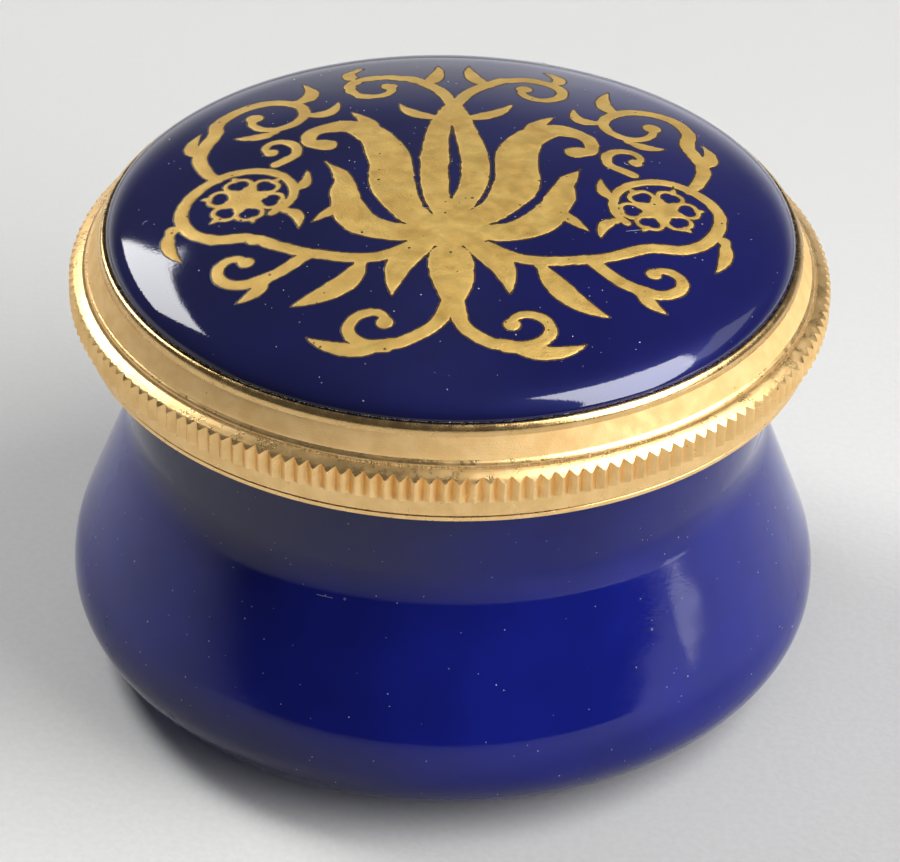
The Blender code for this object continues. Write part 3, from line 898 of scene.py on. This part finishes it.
# Scrolls of one half: the lead and its half widths, then the centre, the first and the last radius, the
# start and the sweep in degrees, the first and the last half width, and that of the round end
SCROLLS = (
    # round the flower
    (
        [(0.8, -6.0), (4.2, -7.9), (8.2, -7.2)], [0.55, 0.42, 0.4],
        (12.1, -1.4), (4.3, 2.5), -98, 322, (0.44, 0.26), 0.0,
    ),
    # under it
    ([(8.0, -7.3), (9.6, -8.9)], [0.4, 0.42], (12.2, -8.3), (1.75, 0.65), -130, 270, (0.42, 0.24), 0.46),
    # small curl between the large ones
    ([(10.6, 2.2), (9.4, 3.2)], [0.34, 0.32], (10.5, 4.3), (1.35, 0.55), 195, -250, (0.32, 0.22), 0.42),
    # upper one
    (
        [(13.9, 1.2), (14.6, 2.4), (15.0, 4.4)], [0.3, 0.4, 0.44],
        (11.0, 8.5), (3.5, 1.15), -24, 400, (0.46, 0.24), 0.56,
    ),
    # tendrils at the top and the foot
    (
        [(0.1, 9.8), (1.0, 12.2), (2.6, 14.0)], [0.4, 0.42, 0.44],
        (4.9, 12.5), (2.4, 0.8), 130, -340, (0.44, 0.24), 0.5,
    ),
    (
        [(0.1, -12.0), (0.8, -14.0), (2.4, -15.2)], [0.5, 0.42, 0.42],
        (4.3, -13.6), (2.0, 0.7), -120, 300, (0.42, 0.24), 0.48,
    ),
)

# The flower: its centre, radius, number of petals and turn in degrees
FLOWER = ((12.1, -1.4), 2.55, 6, 12)

# Its parts in shares of that radius: the heart, and each petal's middle, its two discs' offsets to the
# sides, their radii in gold and in blue, and the place and radius of the blue cell's point
FLOWER_HEART = 0.5
PETAL_MIDDLE = 0.64
PETAL_OFFSETS = (-0.07, 0.07)
PETAL_GOLD = 0.28
PETAL_BLUE = 0.165
CELL_POINT = (0.13, 0.1)

# Pointed scallop beyond a petal's middle: base, control point and tip, then half widths in mm and fullest
SCALLOP = (0.2, 0.3, 0.46)
SCALLOP_SHAPE = (0.22, 0.22, 0.15)


def smooth_path(points, widths):
    """Samples (x, y, half width) along a smooth curve through points, with a half width at each."""
    points = np.asarray(points, dtype=float)
    ends = np.vstack([2 * points[0] - points[1], points, 2 * points[-1] - points[-2]])
    samples = []
    for index in range(len(points) - 1):
        before, start, end, after = ends[index:index + 4]
        count = max(2, math.ceil(math.dist(start, end) / PATH_STEP))
        t = np.linspace(0.0, 1.0, count, endpoint=index == len(points) - 2)[:, None]
        curve = 2 * start + (end - before) * t + (2 * before - 5 * start + 4 * end - after) * t**2
        curve = (curve + (3 * start - before - 3 * end + after) * t**3) / 2
        width = widths[index] + (widths[index + 1] - widths[index]) * (3 * t**2 - 2 * t**3)
        samples.append(np.hstack([curve, width]))
    return np.vstack(samples)


def scroll(lead, lead_widths, centre, radii, start_degrees, sweep, widths, blob):
    """A stem that runs in along its lead and winds round a centre, with a round end if it has a blob."""
    share = np.linspace(0.0, 1.0, max(4, round(abs(sweep) / COIL_STEP)) + 1)
    angle = np.radians(start_degrees + sweep * share)
    radius = radii[0] * (radii[1] / radii[0]) ** share
    coil = np.stack([centre[0] + radius * np.cos(angle), centre[1] + radius * np.sin(angle)], 1)
    coil_widths = widths[0] + (widths[1] - widths[0]) * share
    samples = smooth_path([*lead, *coil.tolist()], [*lead_widths, *coil_widths.tolist()])
    if blob:
        samples = np.vstack([samples, [*samples[-1][:2], blob]])
    return samples


def leaf(base, control, tip, width, base_width, fullest):
    """A pointed leaf that bends from base to tip, widest at a share of its length."""
    t = np.linspace(0.0, 1.0, LEAF_STEPS + 1)[:, None]
    growing = np.sin(math.pi / 2 * t / fullest)
    tapering = np.cos(math.pi / 2 * (t - fullest) / (1 - fullest))
    swell = np.where(t < fullest, growing, tapering)
    root = base_width * np.clip(1 - t / fullest, 0, 1)
    half = np.maximum(width * np.clip(swell, 0, 1) ** LEAF_FULLNESS, root)
    return np.hstack([bend(base, control, tip, LEAF_STEPS), half])


def flower(centre, radius, petals, turn):
    """Gold flower with pointed scallops, and the blue cells of its petals."""
    middle = np.array(centre)
    gold = [(*middle, radius * FLOWER_HEART)]
    blue = []
    for index in range(petals):
        angle = math.radians(turn + 360 * index / petals)
        away = np.array([math.cos(angle), math.sin(angle)]) * radius
        side = np.array([-away[1], away[0]])
        lobe = middle + away * PETAL_MIDDLE
        for offset in PETAL_OFFSETS:
            gold.append((*(lobe + side * offset), radius * PETAL_GOLD))
            blue.append((*(lobe + side * offset), radius * PETAL_BLUE))
        blue.append((*(lobe - away * CELL_POINT[0]), radius * CELL_POINT[1]))
        gold.extend(leaf(*(lobe + away * share for share in SCALLOP), *SCALLOP_SHAPE))
    return np.array(gold), np.array(blue)


def mirrored(samples):
    """The samples on the other side of the middle line."""
    return samples * np.array([-1.0, 1.0, 1.0])


def by_hand(samples):
    """The samples moved a little, in two slow and two quick waves, as a steady hand strays."""
    x, y, width = samples.T
    stray_x = HAND_SLOW * np.sin(0.55 * y + 1.3) + HAND_QUICK * np.sin(1.15 * x + 0.4 * y)
    stray_y = HAND_SLOW * np.sin(0.5 * x + 0.7) + HAND_QUICK * np.sin(0.9 * y - 0.6 * x)
    return np.stack([HAND_SCALE * x + stray_x, HAND_SCALE * y + stray_y, width], 1)


def gold_drawing():
    """Samples of the gold and of the blue cut out of it."""
    middle = [
        leaf((0, -5.2), (0, 2.0), (0, 11.0), 2.0, 0.5, 0.42),
        np.array([(0, -6.0, 1.25)]),
        leaf((0, -6.8), (0, -9.0), (0, -13.4), 1.3, 0.7, 0.35),
    ]
    petals, cells = flower(*FLOWER)
    half = [smooth_path(*path) for path in PALMETTE] + [petals]
    half += [leaf(*row) for row in LEAVES] + [scroll(*row) for row in SCROLLS]
    cuts = [leaf((0, -2.4), (0, 2.0), (0, 7.4), 0.36, 0.0, 0.35), cells, mirrored(cells)]
    gold = middle + half + [mirrored(samples) for samples in half]
    return by_hand(np.vstack(gold)), by_hand(np.vstack(cuts))


def distance_field(samples, axis):
    """Distance field of a union of discs on the square grid, negative inside."""
    field = np.full((len(axis), len(axis)), FAR)
    for x, y, width in samples:
        reach = max(width, 0.0) + FAR
        i0, i1 = np.searchsorted(axis, (x - reach, x + reach))
        j0, j1 = np.searchsorted(axis, (y - reach, y + reach))
        away = np.hypot(axis[j0:j1, None] - y, axis[None, i0:i1] - x) - width
        window = field[j0:j1, i0:i1]
        np.minimum(window, away, out=window)
    return field


def ragged_field(axis):
    """Small wavering of the gold's edge, stronger here and there where the brush ran dry."""
    chance = np.random.default_rng(GOLD_SEED)

    def clouds(cells):
        coarse = chance.normal(size=(cells, cells))
        at = np.linspace(0, cells - 1, len(axis))
        across = np.array([np.interp(at, np.arange(cells), row) for row in coarse])
        return np.array([np.interp(at, np.arange(cells), column) for column in across.T]).T

    fine = clouds(len(axis) // RAGGED_STEPS)
    dry = np.clip(clouds(DRY_PATCHES), 0.0, 2.0)
    return fine * RAGGED_EDGE * (1 + dry**2)


def film(k, field, axis, low, high, rounding):
    """Points and faces of a thin film over the lid where the field is negative, sunk at its edge."""
    inside = field < 0
    node = np.full(inside.shape, -1)
    node[inside] = np.arange(inside.sum())
    rows, columns = np.nonzero(inside)
    flat = [np.stack([axis[columns], axis[rows]], 1)]
    rise = np.clip(-field[inside] / rounding, 0.0, 1.0)
    lift = [low + (high - low) * rise * rise * (3 - 2 * rise)]
    crossings = []
    for down, right in ((0, 1), (1, 0)):
        near = field[: len(axis) - down, : len(axis) - right]
        far = field[down:, right:]
        crossed = (near < 0) != (far < 0)
        number = np.full(crossed.shape, -1)
        number[crossed] = np.arange(crossed.sum()) + sum(map(len, flat))
        rows, columns = np.nonzero(crossed)
        share = near[crossed] / (near[crossed] - far[crossed])
        x = axis[columns] + share * GRID_STEP * right
        y = axis[rows] + share * GRID_STEP * down
        flat.append(np.stack([x, y], 1))
        lift.append(np.full(len(x), -FILM_SINK))
        crossings.append(number)
    level, upright = crossings
    corners = (
        node[:-1, :-1], level[:-1, :], node[:-1, 1:], upright[:, 1:],
        node[1:, 1:], level[1:, :], node[1:, :-1], upright[:, :-1],
    )
    cells = np.stack([part.ravel() for part in corners], 1)
    cells = cells[(cells >= 0).sum(1) > 2]
    faces = [tuple(corner for corner in cell if corner >= 0) for cell in cells.tolist()]
    flat = np.vstack(flat)
    height = dome_surface(k, np.hypot(flat[:, 0], flat[:, 1])) + np.concatenate(lift)
    return np.column_stack([flat, height]), faces


# Dust ----------------------------------------

DUST_SEED = 23

# Dust strewn on a surface: its specks, its fibres and the shares of the profile between which they lie
BODY_DUST = (420, 12, (0.08, 0.8))
LID_DUST = (260, 7, (0.05, 0.97))

# Sizes in mm of specks and fibres
SPECK_SIZES = (0.016, 0.048)
FIBRE_LENGTHS = (0.3, 1.1)
FIBRE_THICKNESS = 0.011

# Dust in the gap round the plaque, dark brown partly as painted shade of that gap: its specks and their
# sizes, and how they lie about the gap's edge
GAP_SPECKS = 3200
GAP_SPECK_SIZES = (0.01, 0.04)
GAP_IN_AND_OUT = (-0.03, 0.05)
GAP_UP = (0.0, 0.05)
GAP_SHIFT = 0.02

# Fibres that lie over the gap
RIM_FIBRES = 26
RIM_FIBRE_LENGTHS = (0.2, 0.7)
RIM_FIBRE_THICKNESS = 0.01
RIM_FIBRE_RISE = 0.03

# Shape of a speck in shares of its size: its outline, its top and shoulder and how far it is sunk
SPECK_SIDES = 6
SPECK_OUTLINE = (0.6, 1.3)
SPECK_TOP = 0.9
SPECK_SHOULDER = 0.35
SPECK_SINK = 0.3
SPECK_LAY = (0.31, 0.52, 0.8)

# Shape of a fibre: its rows of points, and how far it may curl and stand off the surface
FIBRE_ROWS = 9
FIBRE_CURL = 1.2
FIBRE_ARCH = 2.5


def any_angle(chance):
    """Random angle round the axis."""
    return chance.uniform(0, 2 * math.pi)


def crosswise(normal, other):
    """Two directions at right angles to a normal and to each other."""
    side = np.cross(normal, other)
    side = side / np.linalg.norm(side)
    return side, np.cross(normal, side)


def speck(chance, place, normal, size):
    """Points and faces of one grain, a flattened lump with an uneven outline."""
    side, other = crosswise(normal, SPECK_LAY)
    points = [place + normal * size * SPECK_TOP]
    for index in range(SPECK_SIDES):
        angle = 2 * math.pi * index / SPECK_SIDES
        reach = size * chance.uniform(*SPECK_OUTLINE)
        out = (side * math.cos(angle) + other * math.sin(angle)) * reach
        points.append(place + out + normal * size * SPECK_SHOULDER)
    points.append(place - normal * size * SPECK_SINK)
    faces = []
    for index in range(SPECK_SIDES):
        after = 1 + (index + 1) % SPECK_SIDES
        faces.append((0, 1 + index, after))
        faces.append((SPECK_SIDES + 1, after, 1 + index))
    return points, faces


def fibre(chance, place, normal, size, thickness):
    """Points and faces of one short curved hair that lies on a surface."""
    side, other = crosswise(normal, chance.normal(size=3))
    curl = chance.uniform(-FIBRE_CURL, FIBRE_CURL)
    rows = []
    points = []
    for index in range(FIBRE_ROWS):
        share = index / (FIBRE_ROWS - 1) - 0.5
        middle = place + side * size * share + other * size * curl * share * share
        middle = middle + normal * thickness * (1.0 + FIBRE_ARCH * (0.25 - share * share))
        rows.append([len(points) + corner for corner in range(4)])
        points += [middle + away * thickness for away in (normal, other, -normal, -other)]
    return points, bar_faces(rows)


def surface_point(profile, share, angle):
    """Point and outward normal of a turned surface, at a share of its profile's length."""
    profile = np.asarray(profile)
    lengths = np.concatenate([[0.0], np.cumsum(np.hypot(*np.diff(profile, axis=0).T))])
    at = share * lengths[-1]
    radius, height = (np.interp(at, lengths, profile[:, column]) for column in (0, 1))
    index = int(np.clip(np.searchsorted(lengths, at) - 1, 0, len(profile) - 2))
    run, rise = profile[index + 1] - profile[index]
    span = math.hypot(run, rise)
    return around(radius, angle, height), around(-rise / span, angle, run / span)


def dust_mesh(profile, specks, fibres, spread):
    """Specks and fibres strewn over a turned surface."""
    chance = np.random.default_rng(DUST_SEED)
    parts = []
    for _ in range(specks):
        spot = surface_point(profile, chance.uniform(*spread), any_angle(chance))
        parts.append(speck(chance, *spot, chance.uniform(*SPECK_SIZES)))
    for _ in range(fibres):
        spot = surface_point(profile, chance.uniform(*spread), any_angle(chance))
        parts.append(fibre(chance, *spot, chance.uniform(*FIBRE_LENGTHS), FIBRE_THICKNESS))
    return parts


def rim_dust(k):
    """Specks caught in the gap round the plaque, and fibres that lie over it."""
    chance = np.random.default_rng(DUST_SEED + 1)
    up = np.array([0.0, 0.0, 1.0])
    specks = []
    for _ in range(GAP_SPECKS):
        angle = any_angle(chance)
        radius = k.plaque_radius + GAP_SHIFT + chance.uniform(*GAP_IN_AND_OUT)
        height = k.lip_top - GAP_SHIFT + chance.uniform(*GAP_UP)
        place = around(radius, angle, height)
        specks.append(speck(chance, place, up, chance.uniform(*GAP_SPECK_SIZES)))
    fibres = []
    for _ in range(RIM_FIBRES):
        place = around(k.plaque_radius, any_angle(chance), k.lip_top + RIM_FIBRE_RISE)
        fibres.append(fibre(chance, place, up, chance.uniform(*RIM_FIBRE_LENGTHS), RIM_FIBRE_THICKNESS))
    return specks, fibres


# Operators ----------------------------------------

# Rim of the copper inside the collar over the blue enamel's edge, and how far the lining stays under it
COPPER_RIM_RISE = 2.7
LINING_DROP = 0.35

# Collar: radii of its wall, its bore and its mouth, the lip's height, and the bevels of mouth and flange
COLLAR_WALL = 19.95
COLLAR_BORE = 19.1
COLLAR_MOUTH = 18.65
COLLAR_LIP = 0.4
MOUTH_BEVEL = (0.2, 0.06)
FLANGE_PLAY = 0.05
FLANGE_INSET = 0.1
FLANGE_BEVEL_TOP = 0.02
FLANGE_BEVEL_LOW = 0.05

# Retaining ring in the bezel, and the brim of the plaque that it holds up against the lip
RETAINER_BORE = 18.85
RETAINER_TOP = 25.37
BRIM_LOW = 25.42
BRIM_TOP = 25.84


class ENAMELBOX_OT_body(bpy.types.Operator):
    """Build the pressed copper body with its blue enamel and its white lining"""

    bl_idname = "enamelbox.body"
    bl_label = "Body"
    bl_options = {"REGISTER", "UNDO"}

    def execute(self, context):
        k = millimetres(context.scene)
        lining_rise = COPPER_RIM_RISE - LINING_DROP
        layers = (
            ("body_blue_enamel", "body_outer_enamel", "enamel", "enamel_blue", "body_enamel", 0.0),
            ("body_copper", "body_copper_shell", "copper", "copper", "copper", COPPER_RIM_RISE),
            ("body_lining", "body_inner_enamel", "lining", "enamel_white", "white_enamel", lining_rise),
        )
        for name, node, layer, slot, finish, rise in layers:
            outer, inner = BODY_LAYERS[layer]
            section = body_layer(k, outer, rise) + body_layer(k, inner, rise)[::-1]
            piece = add_piece(name, *turned(section), [finish], "box_body", slot)
            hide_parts(node)
        return {"FINISHED"}


class ENAMELBOX_OT_collar(bpy.types.Operator):
    """Build the gilt collar of the body with its flange and its screw thread"""

    bl_idname = "enamelbox.collar"
    bl_label = "Neck collar"
    bl_options = {"REGISTER", "UNDO"}

    def execute(self, context):
        k = millimetres(context.scene)
        wall_bevel, top_bevel = MOUTH_BEVEL
        flange_low = k.neck_height + FLANGE_PLAY
        flange = k.band_radius - FLANGE_INSET
        section = [
            (COLLAR_MOUTH, k.collar_top),
            (COLLAR_WALL - wall_bevel, k.collar_top),
            (COLLAR_WALL - top_bevel, k.collar_top - top_bevel),
            (COLLAR_WALL, k.collar_top - wall_bevel),
            (COLLAR_WALL, k.flange_top),
            (flange - FLANGE_BEVEL_TOP, k.flange_top),
            (flange, k.flange_top - FLANGE_BEVEL_TOP),
            (flange, flange_low + FLANGE_BEVEL_LOW),
            (flange - FLANGE_BEVEL_LOW, flange_low),
            (COLLAR_BORE, flange_low),
            (COLLAR_BORE, k.collar_top - COLLAR_LIP),
            (COLLAR_MOUTH, k.collar_top - COLLAR_LIP),
        ]
        points, faces = joined(turned(section), thread_ridges(COLLAR_WALL, 1, 0.0))
        piece = add_piece("collar_gilt", points, faces, ["gilt_band"], "box_body", "gilt")
        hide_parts("neck_collar")
        return {"FINISHED"}


class ENAMELBOX_OT_ring(bpy.types.Operator):
    """Build the milled gilt ring of the lid and the plain ring inside it"""

    bl_idname = "enamelbox.ring"
    bl_label = "Lid ring"
    bl_options = {"REGISTER", "UNDO"}

    def execute(self, context):
        k = millimetres(context.scene)
        points, faces, finishes = ring_mesh(k)
        plain = len(faces)
        points, faces = joined((points, faces), thread_ridges(BORE_RADIUS, -1, -90.0))
        finishes = np.concatenate([finishes, np.zeros(len(faces) - plain)]).astype(int)
        materials = ["gilt_" + kind for kind in GILT_KINDS]
        piece = add_piece("ring_gilt", points, faces, materials, "lid", "gilt", RING_SHARP, finishes)
        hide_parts("lid_bezel")
        outer = SEAT_RADIUS - SEAT_PLAY
        section = [
            (RETAINER_BORE, RETAINER_TOP),
            (outer, RETAINER_TOP),
            (outer, SEAT_LOW),
            (RETAINER_BORE, SEAT_LOW),
        ]
        retainer = add_piece("ring_retainer", *turned(section), ["gilt_satin"], "lid_ring", "gilt")
        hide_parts("lid_retaining_ring")
        return {"FINISHED"}


class ENAMELBOX_OT_plaque(bpy.types.Operator):
    """Build the domed plaque of the lid: blue enamel, copper and white lining"""

    bl_idname = "enamelbox.plaque"
    bl_label = "Lid plaque"
    bl_options = {"REGISTER", "UNDO"}

    def execute(self, context):
        k = millimetres(context.scene)
        brim_edge = SEAT_RADIUS - SEAT_PLAY
        brim = [(brim_edge, BRIM_TOP), (brim_edge, BRIM_LOW)]
        blue_low = BRIM_TOP + SEAT_PLAY
        layers = (
            ("lid_blue_enamel", "lid_outer_enamel", "enamel", "enamel_blue", "lid_enamel", blue_low, []),
            ("lid_copper", "lid_copper_dome", "copper", "copper", "copper", BRIM_TOP, brim),
            ("lid_lining", "lid_inner_enamel", "lining", "enamel_white", "white_enamel", BRIM_LOW, []),
        )
        for name, node, layer, slot, finish, low, edge in layers:
            outer, inner = PLAQUE_LAYERS[layer]
            inner_low = BRIM_LOW if edge else low
            section = plaque_side(k, outer, low) + edge + plaque_side(k, inner, inner_low)[::-1]
            piece = add_piece(name, *turned(section), [finish], "lid", slot)
            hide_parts(node)
        return {"FINISHED"}


class ENAMELBOX_OT_scrolls(bpy.types.Operator):
    """Fire the gold palmette and scrolls on the lid, with the burnt line round them"""

    bl_idname = "enamelbox.scrolls"
    bl_label = "Gold scrolls"
    bl_options = {"REGISTER", "UNDO"}

    def execute(self, context):
        k = millimetres(context.scene)
        axis = np.arange(-GRID_REACH, GRID_REACH + GRID_STEP / 2, GRID_STEP)
        gold, blue = gold_drawing()
        field = np.maximum(distance_field(gold, axis), -distance_field(blue, axis))
        field = field + ragged_field(axis)
        burnt = field - BURNT_EDGE_WIDTH
        layers = (
            ("lid_gold_scrolls", "fired_gold", field, GOLD_LOW, k.gold_height, GOLD_ROUNDING),
            ("lid_gold_edge", "gold_edge", burnt, *BURNT_LAYER),
        )
        for name, finish, height_field, low, high, rounding in layers:
            points, faces = film(k, height_field, axis, low, high, rounding)
            add_piece(name, points, faces, [finish], "lid", "gilt", GOLD_SHARP)
        return {"FINISHED"}


class ENAMELBOX_OT_dust(bpy.types.Operator):
    """Strew fine dust and a few fibres on lid and body, and dust in the gap round the plaque"""

    bl_idname = "enamelbox.dust"
    bl_label = "Dust"
    bl_options = {"REGISTER", "UNDO"}

    def execute(self, context):
        k = millimetres(context.scene)
        gap, rim_fibres = rim_dust(k)
        body = dust_mesh(body_side(k, 0.0), *BODY_DUST)
        lid = dust_mesh(plaque_side(k, 0.0, k.lip_top), *LID_DUST) + rim_fibres
        for name, parts, finish, rides_on in (
            ("body_dust", body, "dust", "box_body"),
            ("lid_dust", lid, "dust", "lid"),
            ("lid_gap_dust", gap, "gap_dust", "lid"),
        ):
            add_piece(name, *joined(*parts), [finish], rides_on, "enamel_white")
        return {"FINISHED"}


# Stage ----------------------------------------

# Camera: height of the point it stands round, distance from it and elevation in degrees, its own tilt,
# pan and roll in degrees, its lens and sensor in mm, and the nearest that it sees
CAMERA_HEIGHT_AIM = 0.022
CAMERA_DISTANCE = 0.23
CAMERA_ELEVATION = 32.5462
CAMERA_TILT = 1.8337
CAMERA_PAN = -0.0564
CAMERA_ROLL = 1.3968
CAMERA_LENS = 157.82
CAMERA_SENSOR = 36.0
CAMERA_CLIP = 0.01

# Half the width of the floor, in metres
FLOOR_REACH = 0.6

# Lamps: azimuth from behind the box clockwise seen from above, elevation, distance, width, height and roll,
# then the radiance with which they show in gloss and with which they light matt surfaces
LAMPS = {
    "softbox": (108.36, 44.34, 0.36, 0.493, 0.194, 56.6, 7.5, 0.0),
    "softbox_spill": (115.0, 39.0, 0.36, 0.493, 0.194, 56.6, 0.0, 4.7),
    "softbox_wing": (66.0, 42.5, 0.4, 0.2, 0.085, 0.0, 0.8, 0.0),
    "window": (-39.23, 38.5, 0.5, 0.199, 0.14, 37.7, 7.5, 0.0),
    "window_spill": (-54.0, 50.0, 0.5, 0.199, 0.14, 37.7, 0.0, 14.0),
    "overhead_fill": (180.0, 80.0, 0.7, 0.75, 0.75, 0.0, 0.0, 0.2),
}

# Height that the lamps face, and the watts of a square metre of lamp for each unit of radiance
LAMP_AIM_HEIGHT = 0.015
LAMP_WATTS = 4

# Bright card that lies on the table: its middle, its size, its turn and its radiance
CARD_PLACE = (0.178, -0.0475, 0.0004)
CARD_SIZE = (0.13, 0.021)
CARD_TURN = -17.6
CARD_SHINE = 2.1


def direction(azimuth, elevation):
    """Unit vector from the box towards an azimuth and an elevation."""
    turn = math.radians(azimuth)
    lift = math.radians(elevation)
    return Vector((math.sin(turn) * math.cos(lift), math.cos(turn) * math.cos(lift), math.sin(lift)))


def facing_box(azimuth, elevation, distance, roll):
    """Place of a lamp that faces the box from a direction."""
    towards = direction(azimuth, elevation)
    place = Matrix.Translation(Vector((0.0, 0.0, LAMP_AIM_HEIGHT)) + towards * distance)
    facing = towards.to_track_quat("Z", "Y").to_matrix().to_4x4()
    return place @ facing @ Matrix.Rotation(math.radians(roll), 4, "Z")


def add_lamp(name, place, width, height, shine, light):
    """Rectangular lamp, split in two where gloss and matt surfaces see it unlike."""
    for suffix, radiance in (("_shine", shine), ("_light", light)):
        if not radiance:
            continue
        lamp_data = bpy.data.lights.new(name + suffix, "AREA")
        lamp_data.shape = "RECTANGLE"
        lamp_data.size = width
        lamp_data.size_y = height
        lamp_data.energy = LAMP_WATTS * width * height * radiance
        lamp = bpy.data.objects.new(name + suffix, lamp_data)
        lamp.matrix_world = place
        lamp.visible_camera = False
        lamp.visible_diffuse = suffix == "_light"
        lamp.visible_glossy = suffix == "_shine"
        bpy.context.scene.collection.objects.link(lamp)


def swung(first, second, degrees):
    """Two directions at right angles, turned towards each other in their plane."""
    cosine, sine = math.cos(math.radians(degrees)), math.sin(math.radians(degrees))
    return first * cosine + second * sine, second * cosine - first * sine


def add_camera(scene):
    """Camera at the photograph's place."""
    camera_data = bpy.data.cameras.new("photo_camera")
    camera_data.lens = CAMERA_LENS
    camera_data.sensor_width = CAMERA_SENSOR
    camera_data.sensor_fit = "HORIZONTAL"
    camera_data.clip_start = CAMERA_CLIP
    lift = math.radians(CAMERA_ELEVATION)
    look = math.radians(CAMERA_ELEVATION + CAMERA_TILT)
    place = Vector((0.0, -math.cos(lift), math.sin(lift))) * CAMERA_DISTANCE
    place.z += CAMERA_HEIGHT_AIM
    back = Vector((0.0, -math.cos(look), math.sin(look)))
    up = Vector((0.0, math.sin(look), math.cos(look)))
    back, right = swung(back, Vector((1.0, 0.0, 0.0)), CAMERA_PAN)
    right, up = swung(right, up, CAMERA_ROLL)
    camera = bpy.data.objects.new("photo_camera", camera_data)
    camera.matrix_world = Matrix.Translation(place) @ Matrix((right, up, back)).transposed().to_4x4()
    scene.collection.objects.link(camera)
    scene.camera = camera


# The room by direction: where each part of its light fades, and from what value to what
ROOM_BEHIND = (0.3, 0.95, 0.2, 1.15)
ROOM_LEFT = (-0.3, -0.9, 0.0, 0.75)
ROOM_RIGHT = (0.3, 0.9, 1.0, 0.6)
ROOM_BESIDE = (-0.45, 0.0)
ROOM_UPWARD = (-0.06, 0.36, 1.0, 0.0)
ROOM_HORIZON = (-0.2, -0.08)
ROOM_DIM = (-0.4, 0.3, 0.08, 0.07)


def set_world(scene):
    """Dim room, pale near the horizon behind and beside the box and dark in front of it."""
    world = bpy.data.worlds.new("studio")
    world.use_nodes = True
    tree = world.node_tree
    tree.nodes.clear()
    x, y, z = coordinates(tree, "Generated")
    glow = calculate(tree, "ADD", fade(tree, y, *ROOM_BEHIND), fade(tree, x, *ROOM_LEFT))
    for axis, fading in ((y, ROOM_BESIDE), (x, ROOM_RIGHT), (z, ROOM_UPWARD), (z, ROOM_HORIZON)):
        glow = calculate(tree, "MULTIPLY", glow, fade(tree, axis, *fading))
    level = calculate(tree, "ADD", glow, fade(tree, y, *ROOM_DIM))
    plain = add_node(tree, "ShaderNodeBackground", {"Color": rgba((1.0, 1.0, 1.0)), "Strength": level})
    add_node(tree, "ShaderNodeOutputWorld", {"Surface": plain.outputs[0]})
    scene.world = world


class ENAMELBOX_OT_stage(bpy.types.Operator):
    """Set the floor, the lamps, the room and the camera"""

    bl_idname = "enamelbox.stage"
    bl_label = "Stage"
    bl_options = {"REGISTER", "UNDO"}

    def execute(self, context):
        scene = context.scene
        signs = ((-1, -1), (1, -1), (1, 1), (-1, 1))
        corners = [(x * FLOOR_REACH, y * FLOOR_REACH, 0.0) for x, y in signs]
        mesh = bpy.data.meshes.new("floor")
        mesh.from_pydata(corners, [], [(0, 1, 2, 3)])
        mesh.materials.append(finish_for("paper"))
        floor = bpy.data.objects.new("floor", mesh)
        scene.collection.objects.link(floor)
        floor.visible_diffuse = False
        for name, (azimuth, elevation, distance, width, height, roll, shine, light) in LAMPS.items():
            add_lamp(name, facing_box(azimuth, elevation, distance, roll), width, height, shine, light)
        lying = Matrix.Translation(CARD_PLACE) @ Matrix.Rotation(math.radians(CARD_TURN), 4, "Z")
        lying = lying @ Matrix.Rotation(math.pi, 4, "X")
        add_lamp("table_card", lying, *CARD_SIZE, CARD_SHINE, 0.0)
        set_world(scene)
        add_camera(scene)
        scene.view_settings.view_transform = "Standard"
        return {"FINISHED"}


class ENAMELBOX_PT_panel(bpy.types.Panel):
    """Sizes, colours and building steps of the enamel box"""

    bl_idname = "ENAMELBOX_PT_panel"
    bl_label = "Enamel Box"
    bl_space_type = "VIEW_3D"
    bl_region_type = "UI"
    bl_category = "Enamel Box"

    def draw(self, context):
        layout = self.layout
        for operator in OPERATORS:
            layout.operator(operator.bl_idname)
        for group in (context.scene.box_sizes, context.scene.box_colours):
            column = layout.column(align=True)
            for name in type(group).__annotations__:
                column.prop(group, name)


OPERATORS = (
    ENAMELBOX_OT_body,
    ENAMELBOX_OT_collar,
    ENAMELBOX_OT_ring,
    ENAMELBOX_OT_plaque,
    ENAMELBOX_OT_scrolls,
    ENAMELBOX_OT_dust,
    ENAMELBOX_OT_stage,
)
CLASSES = (BoxSizes, BoxColours, *OPERATORS, ENAMELBOX_PT_panel)


def register():
    """Register the settings, the building steps and the panel."""
    for item in CLASSES:
        bpy.utils.register_class(item)
    bpy.types.Scene.box_sizes = PointerProperty(type=BoxSizes)
    bpy.types.Scene.box_colours = PointerProperty(type=BoxColours)


def unregister():
    """Remove the settings, the building steps and the panel."""
    del bpy.types.Scene.box_colours
    del bpy.types.Scene.box_sizes
    for item in reversed(CLASSES):
        bpy.utils.unregister_class(item)


def main():
    """Build every piece and the stage."""
    register()
    bpy.ops.enamelbox.body()
    bpy.ops.enamelbox.collar()
    bpy.ops.enamelbox.ring()
    bpy.ops.enamelbox.plaque()
    bpy.ops.enamelbox.scrolls()
    bpy.ops.enamelbox.dust()
    bpy.ops.enamelbox.stage()


if __name__ == "__main__":
    main()
